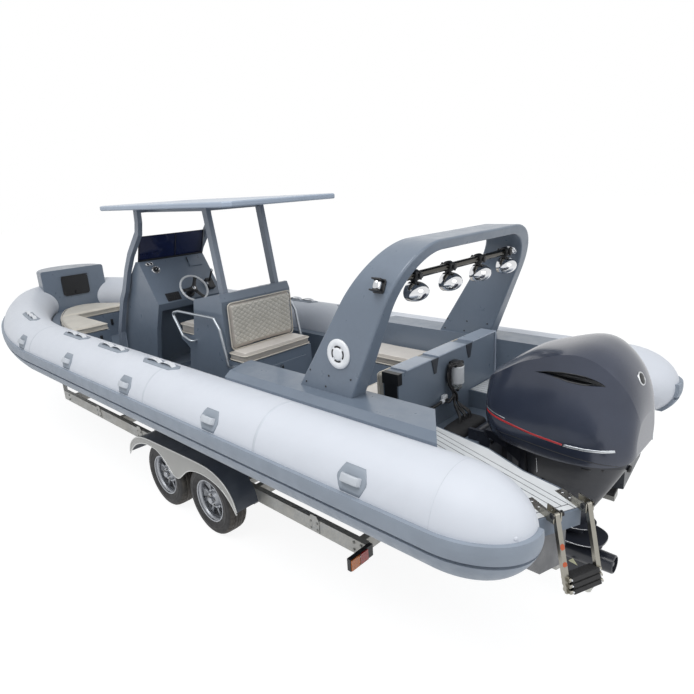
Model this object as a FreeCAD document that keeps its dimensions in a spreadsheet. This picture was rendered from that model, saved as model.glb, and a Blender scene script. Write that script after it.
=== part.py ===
import FreeCAD, Part
import Sketcher
import math
import os
from FreeCAD import Placement, Rotation, Vector

# A rigid inflatable boat of 8.8 m with console, T-top, aft arch and outboard motor, on its tandem axle trailer.
# Every piece is drawn with X = 0 over the rear trailer axle, +X to the bow, +Y to port and Z = 0 on the ground.
# Each sub-part's placement then moves it along X, so that the origin lies under the middle of the whole.

doc = FreeCAD.newDocument("RibBoat")
sizes = doc.addObject("Spreadsheet::Sheet", "Sizes")

TABLE = [
    ("gap", 0.3, "clearance between pieces that rest on each other"),
    ("play", 6, "clearance between pieces that move past each other"),
    ("tube_radius", 280, "buoyancy tube"),
    ("tube_side", 1223, "tube centre from the centreline"),
    ("tube_level", 1318, "tube centre above the ground"),
    ("tube_seam", -2650, "where the tube's end cone begins"),
    ("cone_length", 410, "end cone"),
    ("tube_bend", 2940, "where the tube starts to curve in"),
    ("bow_angle", 30, "turn of the long bow curve"),
    ("bow_radius", 750, "tight curve round the bow"),
    ("sheer", 3, "rise of the bow in degrees"),
    ("strake_proud", 26, "rub strake beyond the tube"),
    ("strake_upper_top", 42, "upper strake, top edge above the tube's centre"),
    ("strake_upper_low", -62, "upper strake, lower edge"),
    ("strake_lower_top", -84, "lower strake, top edge"),
    ("strake_lower_low", -196, "lower strake, lower edge"),
    ("grip_pad", 5, "thickness of the pads under the tube's handles"),
    ("keel_level", 540, "keel above the ground"),
    ("chine_side", 860, "chine from the centreline"),
    ("chine_level", 850, "chine above the ground"),
    ("hull_back", -2930, "aft end of the hull's sponsons"),
    ("hull_top", 1105, "top of the hull"),
    ("notch_front", -2150, "face of the transom that carries the motor"),
    ("notch_side", 345, "half width of the motor notch"),
    ("notch_side_back", 530, "half width of the motor notch at its aft end"),
    ("floor_under", 905, "underside of the cockpit floor"),
    ("floor_level", 950, "cockpit floor"),
    ("liner_top", 1330, "top of the cockpit wall"),
    ("liner_wall", 35, "thickness of the cockpit wall"),
    ("bulkhead_back", -1750, "aft face of the bulkhead behind the aft seat"),
    ("bulkhead_wall", 134, "thickness of that bulkhead"),
    ("bulkhead_top", 1690, "top of that bulkhead"),
    ("bulkhead_port", 560, "port end of that bulkhead"),
    ("well_floor", 1150, "floor of the motor well"),
    ("platform_front", 1300, "height of the swim platform at the bulkhead"),
    ("platform_back", 1205, "height of the swim platform at its aft edge"),
    ("platform_end", -3055, "aft edge of the swim platform, inboard corner"),
    ("platform_corner", -2930, "aft edge of the swim platform, outboard corner"),
    ("platform_in_front", 350, "inboard edge of the platform at the bulkhead"),
    ("platform_in_back", 650, "inboard edge of the platform at its aft end"),
    ("platform_out", 940, "outboard edge of the platform"),
    ("deck_in", 780, "inner face of the side deck"),
    ("deck_out", 1110, "outer lip of the side deck"),
    ("deck_top", 1625, "top of the side deck"),
    ("deck_skin", 45, "thickness of the side deck"),
    ("deck_front", -400, "fore end of the side deck"),
    ("deck_end_in", -2200, "aft end of the side deck, inner corner"),
    ("deck_end_out", -2440, "aft end of the side deck, outer corner"),
    ("locker_back", 5060, "aft face of the bow locker"),
    ("locker_top", 1960, "top of the bow locker"),
    ("locker_side", 470, "half width of the bow locker"),
    ("locker_tip", 5650, "fore end of the bow locker"),
    ("bow_hatch_wide", 400, "hatch in the bow locker"),
    ("bow_hatch_tall", 300, "hatch in the bow locker"),
    ("hinge_barrel", 6, "radius of the barrels on the hatches"),
    ("hinge_pin", 2.5, "radius of the pins of the hatches' hinges"),
    ("bow_hatch_low", 1550, "lower edge of that hatch"),
    ("bow_rise_x", 4900, "where the hull's top is no longer level"),
    ("bow_seat_back", 3300, "aft end of the bow seats"),
    ("bow_seat_top", 1290, "top of the bow seats' box"),
    ("bow_well_side", 330, "half width of the foot well between the bow seats"),
    ("bow_well_front", 4350, "fore end of that foot well"),
    ("cushion_thick", 90, "seat cushions"),
    ("console_side", 420, "half width of the console"),
    ("console_front", 2660, "foot of the console's fore face"),
    ("dash_top_x", 2020, "upper edge of the dash"),
    ("dash_top_z", 2255, "upper edge of the dash"),
    ("dash_low_x", 1700, "lower edge of the dash"),
    ("dash_low_z", 1800, "lower edge of the dash"),
    ("console_foot_x", 1930, "aft foot of the console"),
    ("footwell_side", 370, "half width of the foot space in the console"),
    ("footwell_top", 1720, "top of the foot space in the console"),
    ("footwell_deep", 2250, "fore end of the foot space in the console"),
    ("screen_thick", 10, "windscreen"),
    ("screen_top_x", 1925, "top edge of the windscreen"),
    ("screen_top_z", 2540, "top edge of the windscreen"),
    ("screen_side", 412, "half width of the windscreen"),
    ("helm_radius", 160, "steering wheel, middle of its rim"),
    ("helm_rim", 12, "steering wheel, radius of the rim's section"),
    ("helm_off", 135, "steering wheel, distance from the dash"),
    ("helm_level", 1925, "steering wheel, height of its centre"),
    ("seat_side", 430, "half width of the helm seat"),
    ("seat_foot_x", 1200, "fore foot of the helm seat"),
    ("seat_arm_x", 950, "fore edge of the helm seat's arms"),
    ("seat_back_x", 465, "aft face of the helm seat's backrest"),
    ("seat_back_top", 2020, "top of the helm seat's backrest"),
    ("seat_level", 1520, "top of the helm seat's box"),
    ("bench_back", 200, "aft edge of the rear facing seat"),
    ("bench_level", 1375, "top of the box under the rear facing seat"),
    ("roof_under", 2835, "underside of the T-top"),
    ("roof_edge", 16, "rounding of the roof's edges"),
    ("roof_thick", 50, "thickness of the T-top"),
    ("roof_side", 660, "half width of the T-top"),
    ("roof_back", -120, "aft edge of the T-top"),
    ("roof_front", 2470, "fore edge of the T-top"),
    ("leg_wide", 76, "T-top legs, along the boat"),
    ("leg_thick", 50, "T-top legs, across the boat"),
    ("aft_leg_x", 700, "aft legs of the T-top"),
    ("aft_leg_side", 320, "aft legs of the T-top from the centreline"),
    ("fore_leg_x", 1830, "fore legs of the T-top under the roof"),
    ("fore_leg_side", 500, "fore legs of the T-top from the centreline, at the floor"),
    ("fore_leg_lean", 2, "lean of these legs in degrees"),
    ("arch_foot_front", -1170, "fore edge of the arch at its foot"),
    ("arch_foot_back", -1670, "aft edge of the arch at its foot"),
    ("arch_top_front", -1800, "fore edge of the arch at its top"),
    ("arch_top_back", -2080, "aft edge of the arch at its top"),
    ("arch_top", 2610, "top of the arch"),
    ("arch_side", 945, "half width of the arch at its feet"),
    ("arch_side_top", 900, "half width of the arch below its corners"),
    ("arch_edge", 14, "rounding of the arch's edges"),
    ("arch_wall", 110, "thickness of the arch's legs"),
    ("arch_lid", 70, "thickness of the arch's top"),
    ("arch_corner", 420, "outer corner radius of the arch"),
    ("lamp_bar_x", -1900, "lamp bar under the arch"),
    ("lamp_bar_z", 2385, "lamp bar under the arch"),
    ("lamp_pitch", 390, "distance between the lamps"),
    ("lamp_radius", 66, "working lamps, half height"),
    ("lamp_wide", 140, "working lamps, width as a percentage of their height"),
    ("lamp_depth", 96, "working lamps, from the rim to the back of the shell"),
    ("lamp_front", 20, "working lamps, from the widest place to the rim"),
    ("rail_side", 900, "outer face of the trailer's side rails"),
    ("rail_top", 500, "top of the trailer's rails"),
    ("rail_height", 120, "height of the trailer's rails"),
    ("rail_flange", 50, "flange of the trailer's rails"),
    ("rail_wall", 6, "wall of the trailer's rails"),
    ("rail_back", -1670, "aft end of the trailer's rails"),
    ("rail_bend", 3770, "where the trailer's rails turn in to the drawbar"),
    ("drawbar_join", 6350, "where the rails meet the drawbar"),
    ("drawbar_wide", 100, "square tube of the drawbar"),
    ("ball_radius", 25, "coupling ball"),
    ("coupling_front", 7100, "fore end of the coupling"),
    ("axle_spacing", 770, "between the two axles"),
    ("hub_level", 325, "wheel centres above the ground"),
    ("tyre_width", 190, "tyre"),
    ("rim_radius", 200, "seat of the tyre on the rim"),
    ("wheel_side", 1025, "middle of the tyres from the centreline"),
    ("stub_radius", 32, "stub axle in the hub"),
    ("hub_play", 0.08, "running clearance of the hub on its stub axle"),
    ("bunk_side", 500, "hull supports from the centreline"),
    ("bunk_back", -2890, "aft end of the hull supports"),
    ("bunk_front", 2400, "fore end of the hull supports"),
    ("bunk_pad", 22, "thickness of the pads on the hull supports"),
    ("fender_in", 908, "inner edge of the mudguards"),
    ("fender_out", 1140, "outer face of the mudguards"),
    ("fender_skin", 4, "thickness of the mudguards"),
    ("fender_top", 690, "top of the mudguards"),
    ("jockey_x", 6650, "jockey wheel"),
    ("jockey_side", 112, "jockey wheel's post from the centreline"),
    ("jockey_radius", 100, "jockey wheel"),
    ("jockey_width", 60, "jockey wheel"),
    ("jockey_tube", 30, "radius of the jockey wheel's outer tube"),
    ("post_ahead", 415, "winch post ahead of the tube's centre line at the bow"),
    ("bow_stop_z", 1103, "bow stop above the ground"),
    ("bow_stop_back", 105, "bow stop aft of the tube's centre line at the bow"),
    ("motor_tilt_x", -2120, "motor's tilt axis"),
    ("motor_tilt_z", 1195, "motor's tilt axis"),
    ("motor_steer_x", -2420, "motor's steering axis"),
    ("motor_pin", 20, "radius of the motor's tilt and steering pins"),
    ("cowl_front", -2212, "fore face of the motor's cowl"),
    ("cowl_back", -3172, "aft face of the motor's cowl"),
    ("cowl_low", 1240, "lower edge of the motor's cowl"),
    ("cowl_top", 1972, "top of the motor's cowl"),
    ("cowl_side", 322, "half width of the motor's cowl"),
    ("intake_deep", 62, "floor of the air intakes, inward of the cowl's widest place"),
    ("shaft_level", 460, "propeller shaft above the ground"),
    ("gearcase_end", -3065, "aft end of the gearcase"),
    ("gearcase_radius", 66, "gearcase"),
    ("skeg_level", 165, "foot of the skeg above the ground"),
    ("plate_level", 600, "plate above the propeller's place"),
    ("ladder_angle", 24, "turn of the platform's aft edge and the ladder"),
    ("ladder_lean", 15, "lean of the hanging ladder in degrees"),
    ("ladder_side", 125, "half width of the ladder"),
    ("stringer_wide", 30, "width of the ladder's outer stringers"),
    ("stringer_deep", 24, "depth of the ladder's outer stringers"),
    ("tread_thick", 22, "thickness of the ladder's treads"),
    ("ladder_strap", 215, "ladder's plates on the platform, from the hinge to their inboard ends"),
    ("ladder_reach", 400, "length of the ladder when it is pushed in"),
    ("ladder_hinge_z", 1245, "hinge of the ladder above the ground"),
]
for line, (alias, amount, meaning) in enumerate(TABLE, 1):
    sizes.set("A%d" % line, meaning)
    sizes.set("B%d" % line, str(amount))
    sizes.setAlias("B%d" % line, alias)
doc.recompute()

ORIGIN_X = "-(Sizes.coupling_front + Sizes.cowl_back) / 2"
UP = Vector(0, 0, 1)
PORT = Vector(0, 1, 0)
AHEAD = Vector(1, 0, 0)
SIDES = [("port", 1), ("starboard", -1)]
sub_parts = []


def value(expression):
    return float(sizes.evalExpression(expression))


def size(alias):
    return value("Sizes." + alias)


# Sub-parts as bodies with sketches

def body(label, x="0", y="0", z="0", turn=None):
    item = doc.addObject("PartDesign::Body", label)
    item.Label = label
    if turn:
        item.Placement.Rotation = turn
    item.setExpression("Placement.Base.x", ORIGIN_X + " + " + x)
    item.setExpression("Placement.Base.y", y)
    item.setExpression("Placement.Base.z", z)
    sub_parts.append(item)
    return item


def outline(owner, name, plane, points, offset="0"):
    """Closed outline of straight lines, each corner held by two expressions."""
    sketch = owner.newObject("Sketcher::SketchObject", name)
    base = [item for item in owner.Origin.OriginFeatures if item.Role == plane + "_Plane"][0]
    sketch.AttachmentSupport = [(base, "")]
    sketch.MapMode = "FlatFace"
    sketch.setExpression("AttachmentOffset.Base.z", offset)
    places = [(value(across), value(along)) for across, along in points]
    count = len(places)
    for index in range(count):
        start = Vector(*places[index], 0)
        stop = Vector(*places[(index + 1) % count], 0)
        sketch.addGeometry(Part.LineSegment(start, stop))
    for index in range(count):
        sketch.addConstraint(Sketcher.Constraint("Coincident", index, 2, (index + 1) % count, 1))
    for index, texts in enumerate(points):
        for kind, text, place in zip(("DistanceX", "DistanceY"), texts, places[index]):
            number = sketch.addConstraint(Sketcher.Constraint(kind, -1, 1, index, 1, place))
            sketch.setExpression("Constraints[%d]" % number, text)
    return sketch


def ring_sketch(owner, name, plane, across, along, radius, offset="0"):
    """One circle, its centre and radius held by expressions."""
    sketch = owner.newObject("Sketcher::SketchObject", name)
    base = [item for item in owner.Origin.OriginFeatures if item.Role == plane + "_Plane"][0]
    sketch.AttachmentSupport = [(base, "")]
    sketch.MapMode = "FlatFace"
    sketch.setExpression("AttachmentOffset.Base.z", offset)
    centre = Vector(value(across), value(along), 0)
    sketch.addGeometry(Part.Circle(centre, Vector(0, 0, 1), value(radius)))
    for kind, text, place in (("DistanceX", across, centre.x), ("DistanceY", along, centre.y)):
        number = sketch.addConstraint(Sketcher.Constraint(kind, -1, 1, 0, 3, place))
        sketch.setExpression("Constraints[%d]" % number, text)
    number = sketch.addConstraint(Sketcher.Constraint("Radius", 0, value(radius)))
    sketch.setExpression("Constraints[%d]" % number, radius)
    return sketch


def pad(owner, name, sketch, length, symmetric=False, reverse=False):
    feature = owner.newObject("PartDesign::Pad", name)
    feature.Profile = sketch
    feature.SideType = "Symmetric" if symmetric else "One side"
    feature.Reversed = reverse
    feature.setExpression("Length", length)
    doc.recompute()
    return feature


def pocket(owner, name, sketch, length, symmetric=False, reverse=False):
    feature = owner.newObject("PartDesign::Pocket", name)
    feature.Profile = sketch
    feature.SideType = "Symmetric" if symmetric else "One side"
    feature.Reversed = reverse
    feature.setExpression("Length", length)
    doc.recompute()
    return feature


def revolve(owner, name, sketch, axis="H_Axis"):
    feature = owner.newObject("PartDesign::Revolution", name)
    feature.Profile = sketch
    feature.ReferenceAxis = (sketch, [axis])
    feature.Angle = 360
    doc.recompute()
    return feature


def fillet(owner, name, feature, test, radius):
    """Round the edges of a feature that a test picks."""
    edges = ["Edge%d" % (index + 1) for index, edge in enumerate(feature.Shape.Edges) if test(edge)]
    rounding = owner.newObject("PartDesign::Fillet", name)
    rounding.Base = (feature, edges)
    rounding.setExpression("Radius", radius)
    doc.recompute()
    return rounding


def runs_along(direction):
    """Test for straight edges along one direction."""
    def test(edge):
        if not isinstance(edge.Curve, (Part.Line, Part.LineSegment)):
            return False
        tangent = edge.Vertexes[1].Point - edge.Vertexes[0].Point
        return tangent.normalize().cross(direction).Length < 0.001
    return test


# Sub-parts and tools as plain shapes

def piano_hinge(owner, name, height, wide):
    """Barrel along the hinged edge of a leaf, bored for the pin."""
    barrel = ring_sketch(owner, name + "_barrel_ring", "XZ", "0", height, "Sizes.hinge_barrel")
    pad(owner, name + "_barrel", barrel, wide, symmetric=True)
    bore = ring_sketch(owner, name + "_bore_ring", "XZ", "0", height, "Sizes.hinge_pin + Sizes.gap")
    pocket(owner, name + "_bore", bore, wide + " + 10", symmetric=True)


def hinge_lugs(owner, name, face, axis_x, axis_z, wide):
    """Lugs on a body's wall at the ends of a leaf's barrel, with the pin between them."""
    for make, kind, reach, inner, extra in ((pad, "_lugs", "Sizes.hinge_barrel", " + 1", " + 20"),
                                            (pocket, "_room", "(Sizes.hinge_barrel + 1)", "", " + 6")):
        view = outline(owner, name + kind + "_view", "XZ", [
            (axis_x + " - " + reach, axis_z + " - " + reach), (face + inner, axis_z + " - " + reach),
            (face + inner, axis_z + " + " + reach), (axis_x + " - " + reach, axis_z + " + " + reach)])
        make(owner, name + kind, view, wide + extra, symmetric=True)
    ring = ring_sketch(owner, name + "_pin_ring", "XZ", axis_x, axis_z, "Sizes.hinge_pin")
    pad(owner, name + "_pin", ring, wide + " + 20", symmetric=True)


def hinge_pin(face_x, axis_x, axis_z, half_wide):
    """Pin through a leaf's barrel, with a lug at each end that stands on the wall behind the leaf."""
    lug = size("hinge_barrel")
    reach_y = half_wide + 10
    shapes = [rod(size("hinge_pin"), (axis_x, -reach_y, axis_z), (axis_x, reach_y, axis_z))]
    for low_y, high_y in ((-reach_y, -half_wide - 3), (half_wide + 3, reach_y)):
        shapes.append(box(axis_x - lug, face_x + 1, low_y, high_y, axis_z - lug, axis_z + lug))
    return fuse(shapes)


def feature(label, shape, x="0"):
    item = doc.addObject("Part::Feature", label)
    item.Label = label
    item.Shape = group([shape])
    item.setExpression("Placement.Base.x", ORIGIN_X + " + " + x)
    sub_parts.append(item)
    return item


def box(x0, x1, y0, y1, z0, z1):
    low = Vector(min(x0, x1), min(y0, y1), min(z0, z1))
    return Part.makeBox(abs(x1 - x0), abs(y1 - y0), abs(z1 - z0), low)


def rod(radius, start, stop):
    start, stop = Vector(*start), Vector(*stop)
    return Part.makeCylinder(radius, (stop - start).Length, start, stop - start)


def plate(points, direction):
    """Extrude a closed outline of points along a direction."""
    corners = [Vector(*point) for point in points]
    return Part.Face(Part.makePolygon(corners + corners[:1])).extrude(Vector(*direction))


def side_plate(points, y0, y1):
    """Outline in the XZ plane, from y0 to y1."""
    return plate([(x, y0, z) for x, z in points], (0, y1 - y0, 0))


def plan_plate(points, z0, z1):
    """Outline in the XY plane, from z0 to z1."""
    return plate([(x, y, z0) for x, y in points], (0, 0, z1 - z0))


def cross_plate(points, x0, x1):
    """Outline in the YZ plane, from x0 to x1."""
    return plate([(x0, y, z) for y, z in points], (x1 - x0, 0, 0))


def fuse(shapes):
    first, rest = shapes[0], shapes[1:]
    return first.fuse(rest).removeSplitter() if rest else first


def mirrored(shape):
    return shape.mirror(Vector(0, 0, 0), PORT)


def both_sides(shape):
    return [shape, mirrored(shape)]


def group(shapes):
    return Part.Compound([solid for shape in shapes for solid in shape.Solids])


def bent_tube(points, radius, bend):
    """Round tube along straight runs with rounded corners."""
    corners = [Vector(*point) for point in points]
    edges = []
    start = corners[0]
    for before, corner, after in zip(corners, corners[1:], corners[2:]):
        to_before = (before - corner).normalize()
        to_after = (after - corner).normalize()
        half = to_before.getAngle(to_after) / 2
        reach = bend / math.tan(half)
        first = corner + to_before * reach
        last = corner + to_after * reach
        middle_way = (to_before + to_after).normalize()
        middle = corner + middle_way * (bend / math.sin(half) - bend)
        edges.append(Part.LineSegment(start, first).toShape())
        edges.append(Part.Arc(first, middle, last).toShape())
        start = last
    edges.append(Part.LineSegment(start, corners[-1]).toShape())
    path = Part.Wire(edges)
    section = Part.Wire(Part.makeCircle(radius, corners[0], corners[1] - corners[0]))
    return path.makePipeShell([section], True, True)


# The buoyancy tube's plan: straight sides, a long curve and a tight curve round the bow

gap = size("gap")
play = size("play")
radius = size("tube_radius")
side = size("tube_side")
level = size("tube_level")
seam = size("tube_seam")
bend = size("tube_bend")
bow_radius = size("bow_radius")
turn = math.radians(size("bow_angle"))
rest_turn = math.pi / 2 - turn
long_radius = (side - bow_radius * math.sin(rest_turn)) / (1 - math.cos(turn))
tight_x = bend + long_radius * math.sin(turn) - bow_radius * math.cos(rest_turn)
long_y = side - long_radius
sheer = math.radians(size("sheer"))
BOW_LEAD = 90
pivot = bend - BOW_LEAD / 3


def bow_edges(offset, height, start):
    """Edges of the plan line from the port side round the bow to starboard, moved outward by the offset."""
    wide = side + offset
    long_r = long_radius + offset
    tight_r = bow_radius + offset

    def on_long(angle, sign):
        return Vector(bend + long_r * math.sin(angle), sign * (long_y + long_r * math.cos(angle)), height)

    def on_tight(angle):
        return Vector(tight_x + tight_r * math.cos(angle), tight_r * math.sin(angle), height)

    edges = [Part.LineSegment(Vector(start, wide, height), Vector(bend, wide, height)).toShape()]
    edges.append(Part.Arc(on_long(0, 1), on_long(turn / 2, 1), on_long(turn, 1)).toShape())
    edges.append(Part.Arc(on_tight(rest_turn), on_tight(0), on_tight(-rest_turn)).toShape())
    edges.append(Part.Arc(on_long(turn, -1), on_long(turn / 2, -1), on_long(0, -1)).toShape())
    edges.append(Part.LineSegment(Vector(bend, -wide, height), Vector(start, -wide, height)).toShape())
    return edges


def plan_block(offset, start, z0, z1):
    """Solid over the plan inside the line that is moved outward by the offset."""
    edges = bow_edges(offset, z0, start)
    first = edges[0].Vertexes[0].Point
    last = Vector(first.x, -first.y, z0)
    edges.append(Part.LineSegment(last, first).toShape())
    return Part.Face(Part.Wire(edges)).extrude(Vector(0, 0, z1 - z0))


def mitre(keep_bow):
    """Half space ahead of or behind the plane where the bow starts to rise."""
    reach = 9000
    low = 0 if keep_bow else -reach
    block = box(low, low + reach, -reach, reach, -reach, reach)
    block.Placement = Placement(Vector(pivot, 0, level), Rotation(PORT, -math.degrees(sheer) / 2))
    return block


def raised(shape):
    """Turn a bow piece up by the sheer."""
    return shape.rotated(Vector(pivot, 0, level), PORT, -math.degrees(sheer))


def swept_bow(section):
    """Carry a section, drawn on the port side, round the bow and raise it."""
    face = Part.Face(section).translated(Vector(bend, 0, 0))
    long_centre = Vector(bend, long_y, 0)
    long_turn = math.degrees(turn)
    lead = face.extrude(AHEAD * -BOW_LEAD)
    long_curve = face.revolve(long_centre, UP, -long_turn)
    tight_start = face.rotated(long_centre, UP, -long_turn)
    tight_curve = tight_start.revolve(Vector(tight_x, 0, 0), UP, -2 * math.degrees(rest_turn))
    bow = fuse([tight_curve] + both_sides(lead) + both_sides(long_curve))
    return raised(bow).common(mitre(True))


def straight_run(section):
    """Extrude a port section from the cone's seam to the bend, cut where the bow starts to rise."""
    face = Part.Face(section.translated(Vector(seam, 0, 0)))
    run = face.extrude(Vector(bend - seam + BOW_LEAD, 0, 0))
    return run.common(mitre(False))


def cone_shape(outer):
    """Bullet shaped tube end on the port side, with the given radius at its seam."""
    length = size("cone_length") + outer - radius
    curve = Part.Ellipse(Vector(0, 0, 0), max(length, outer + 1), outer)
    quarter = Part.ArcOfEllipse(curve, math.pi / 2, math.pi).toShape()
    tip = Vector(-max(length, outer + 1), 0, 0)
    edges = [quarter]
    edges.append(Part.LineSegment(tip, Vector(0, 0, 0)).toShape())
    edges.append(Part.LineSegment(Vector(0, 0, 0), Vector(0, outer, 0)).toShape())
    face = Part.Face(Part.Wire(Part.__sortEdges__(edges)))
    solid = face.revolve(Vector(0, 0, 0), AHEAD, 360)
    return solid.translated(Vector(seam, side, level))


def tube_solid(outer):
    """The whole collar, with the given radius."""
    circle = Part.Wire(Part.makeCircle(outer, Vector(0, side, level), AHEAD))
    port = [straight_run(circle), cone_shape(outer)]
    shapes = [swept_bow(circle)] + port + [mirrored(shape) for shape in port]
    return fuse(shapes)


def strake_section(low, top):
    """D section of a rub strake between two levels on the outer side of the port tube."""
    inner = radius + gap
    outer = radius + size("strake_proud")

    def place(distance, height):
        return Vector(0, side + math.sqrt(distance ** 2 - height ** 2), level + height)

    middle = (low + top) / 2
    edges = [Part.Arc(place(outer, low), place(outer, middle), place(outer, top)).toShape()]
    edges.append(Part.LineSegment(place(outer, top), place(inner, top)).toShape())
    edges.append(Part.Arc(place(inner, top), place(inner, middle), place(inner, low)).toShape())
    edges.append(Part.LineSegment(place(inner, low), place(outer, low)).toShape())
    return Part.Wire(edges)


def strake(low, top):
    """One rub strake from cone to cone."""
    section = strake_section(low, top)
    wrap = cone_shape(radius + size("strake_proud")).cut(cone_shape(radius + gap))
    band = box(seam - 900, seam, side - 60, side + 900, level + low, level + top)
    port = [straight_run(section), wrap.common(band)]
    return fuse([swept_bow(section)] + port + [mirrored(shape) for shape in port])


tube_tool = tube_solid(radius + gap)
feature("tube_collar", tube_solid(radius))
feature("rub_strakes", group([
    strake(size("strake_upper_low"), size("strake_upper_top")),
    strake(size("strake_lower_low"), size("strake_lower_top"))]))


def path_place(distance):
    """Placement on the port tube's centre line, a distance ahead of the rear axle along the tube."""
    if distance <= bend:
        return Placement(Vector(distance, side, level), Rotation())
    angle = (distance - bend) / long_radius
    point = Vector(bend + long_radius * math.sin(angle), long_y + long_radius * math.cos(angle), level)
    lift = Placement(Vector(0, 0, 0), Rotation(PORT, -math.degrees(sheer)), Vector(pivot, 0, level))
    return lift.multiply(Placement(point, Rotation(UP, -math.degrees(angle))))


pad_thick = size("grip_pad")
TOP_PAD_FROM = 78
TOP_PAD_TO = 102


def patch(length, from_angle, to_angle, thick):
    """Curved pad on the tube, drawn about the X axis, between two angles above the horizontal."""
    inner = radius + gap
    outer = radius + thick
    line = Part.LineSegment(Vector(-length / 2, inner, 0), Vector(-length / 2, outer, 0)).toShape()
    solid = line.extrude(AHEAD * length).revolve(Vector(0, 0, 0), AHEAD, to_angle - from_angle)
    return solid.rotated(Vector(0, 0, 0), AHEAD, from_angle)


def at_angle(shape, angle):
    """Turn a fitting, drawn standing on the tube's side along +Y, about the tube's axis."""
    return shape.rotated(Vector(0, 0, 0), AHEAD, angle)


def side_grip():
    """Moulded handle low on the tube's outer side, with its pad."""
    low, high = 10, 42
    middle = (low + high) / 2
    base = patch(210, low, high, pad_thick)
    face = radius + pad_thick
    grip = box(-70, 70, face - 1, face + 34, -16, 16).cut(box(-48, 48, face, face + 22, -30, 30))
    return fuse([base, at_angle(grip, middle)])


def strap_loop(centre, long):
    """One webbing loop on the top of the tube, a distance ahead of the middle of its pad."""
    face = radius + pad_thick
    strap = box(centre - long, centre + long, face - 1, face + 26, -19, 19)
    hollow = box(centre - long + 12, centre + long - 12, face, face + 20, -30, 30)
    return at_angle(strap.cut(hollow), 90)


def top_grip(length, loops):
    """Webbing loops on a long pad along the top of the tube."""
    pitch = (length - 120) / loops
    shapes = [patch(length, TOP_PAD_FROM, TOP_PAD_TO, pad_thick)]
    for index in range(loops):
        shapes.append(strap_loop((index - (loops - 1) / 2) * pitch, pitch * 0.42))
    return fuse(shapes)


def curved_top_grip(distance, length, loops):
    """The same on the long curve of the bow, its pad bent with the tube."""
    sector = patch(1, TOP_PAD_FROM, TOP_PAD_TO, pad_thick).translated(Vector(bend + 0.5, side, level))
    face = [item for item in sector.Faces if abs(item.CenterOfMass.x - bend) < 0.01 and abs(item.normalAt(0, 0).x) > 0.9][0]
    long_centre = Vector(bend, long_y, 0)
    begin = math.degrees((distance - length / 2 - bend) / long_radius)
    sweep = math.degrees(length / long_radius)
    base = face.rotated(long_centre, UP, -begin).revolve(long_centre, UP, -sweep)
    shapes = [raised(base)]
    pitch = (length - 120) / loops
    for index in range(loops):
        strap = strap_loop(0, pitch * 0.42)
        strap.Placement = path_place(distance + (index - (loops - 1) / 2) * pitch).multiply(strap.Placement)
        shapes.append(strap)
    return both_sides(fuse(shapes))


def set_on_tube(shape, distance):
    moved = shape.copy()
    moved.Placement = path_place(distance).multiply(shape.Placement)
    return both_sides(moved)


grips = []
for distance in (-2140, -790, 475, 1700, 2990):
    grips += set_on_tube(side_grip(), distance)
for distance in (270, 1170, 2020):
    grips += set_on_tube(top_grip(560, 2), distance)
grips += curved_top_grip(3500, 560, 3)
feature("tube_handles", group(grips))


# Hull with its deep V, cut back to seat the collar, hold the cockpit liner and free the motor

def path_side(x):
    """Distance of the tube's centre line from the middle of the boat."""
    if x <= bend:
        return side
    if x <= bend + long_radius * math.sin(turn):
        return long_y + math.sqrt(long_radius ** 2 - (x - bend) ** 2)
    return math.sqrt(bow_radius ** 2 - (x - tight_x) ** 2)


def hull_section(x, below=False):
    """Cross-section of the hull, or of all the space below its top."""
    keel = size("keel_level")
    chine_y = size("chine_side")
    chine_z = size("chine_level")
    flange = side - 1030
    top = size("hull_top")
    reach = tight_x + bow_radius - 35 - bend
    share = max(0, x - bend) / reach
    rise = (x - bend) * math.tan(sheer) if x > bend else 0
    keel += (top - keel + 95) * share ** 2.2
    chine_z += (top - chine_z + 85) * share ** 1.5
    chine_y *= max(0.015, (1 - share ** 2) ** 0.8)
    flange_y = max(path_side(x) - flange, chine_y + 8)
    flange_z = max(top + rise * 0.8, chine_z + 5)
    if below:
        points = [(0, 0), (flange_y, 0), (flange_y, flange_z + gap), (-flange_y, flange_z + gap), (-flange_y, 0)]
    else:
        points = [(0, keel), (chine_y, chine_z), (flange_y, flange_z), (-flange_y, flange_z), (-chine_y, chine_z)]
    corners = [Vector(x, y, z) for y, z in points]
    return Part.makePolygon(corners + corners[:1])


hull_back = size("hull_back")
run_end = bend - 500
stations = [run_end, bend - 250, bend]
stations += [bend + (tight_x + bow_radius - 35 - bend) * share for share in (0.3, 0.55, 0.75, 0.9, 1)]
run = Part.Face(hull_section(hull_back)).extrude(AHEAD * (run_end - hull_back))
hull = run.fuse(Part.makeLoft([hull_section(x) for x in stations], True, False))
inset = radius + 3
liner_wall = size("liner_wall")
floor = size("floor_level")
floor_under = size("floor_under")
liner_inset = radius + 75
liner_start = size("bulkhead_back")
seat_back = size("bow_seat_back")
well_side = size("bow_well_side")
well_front = size("bow_well_front")
hull_top = size("hull_top")
on_hull = hull_top + gap


def cockpit_room(grow, wall, low, high):
    """Cockpit from the bulkhead to the bow seats with the foot well ahead, grown or drawn in by its wall."""
    wide = plan_block(grow - wall - liner_inset, liner_start - grow, low, high)
    wide = wide.common(box(-4000, seat_back + liner_wall - wall + grow, -2000, 2000, low, high))
    well_half = well_side + liner_wall - wall + grow
    return wide.fuse(box(seat_back, well_front + liner_wall - wall + grow, -well_half, well_half, low, high))


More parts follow.
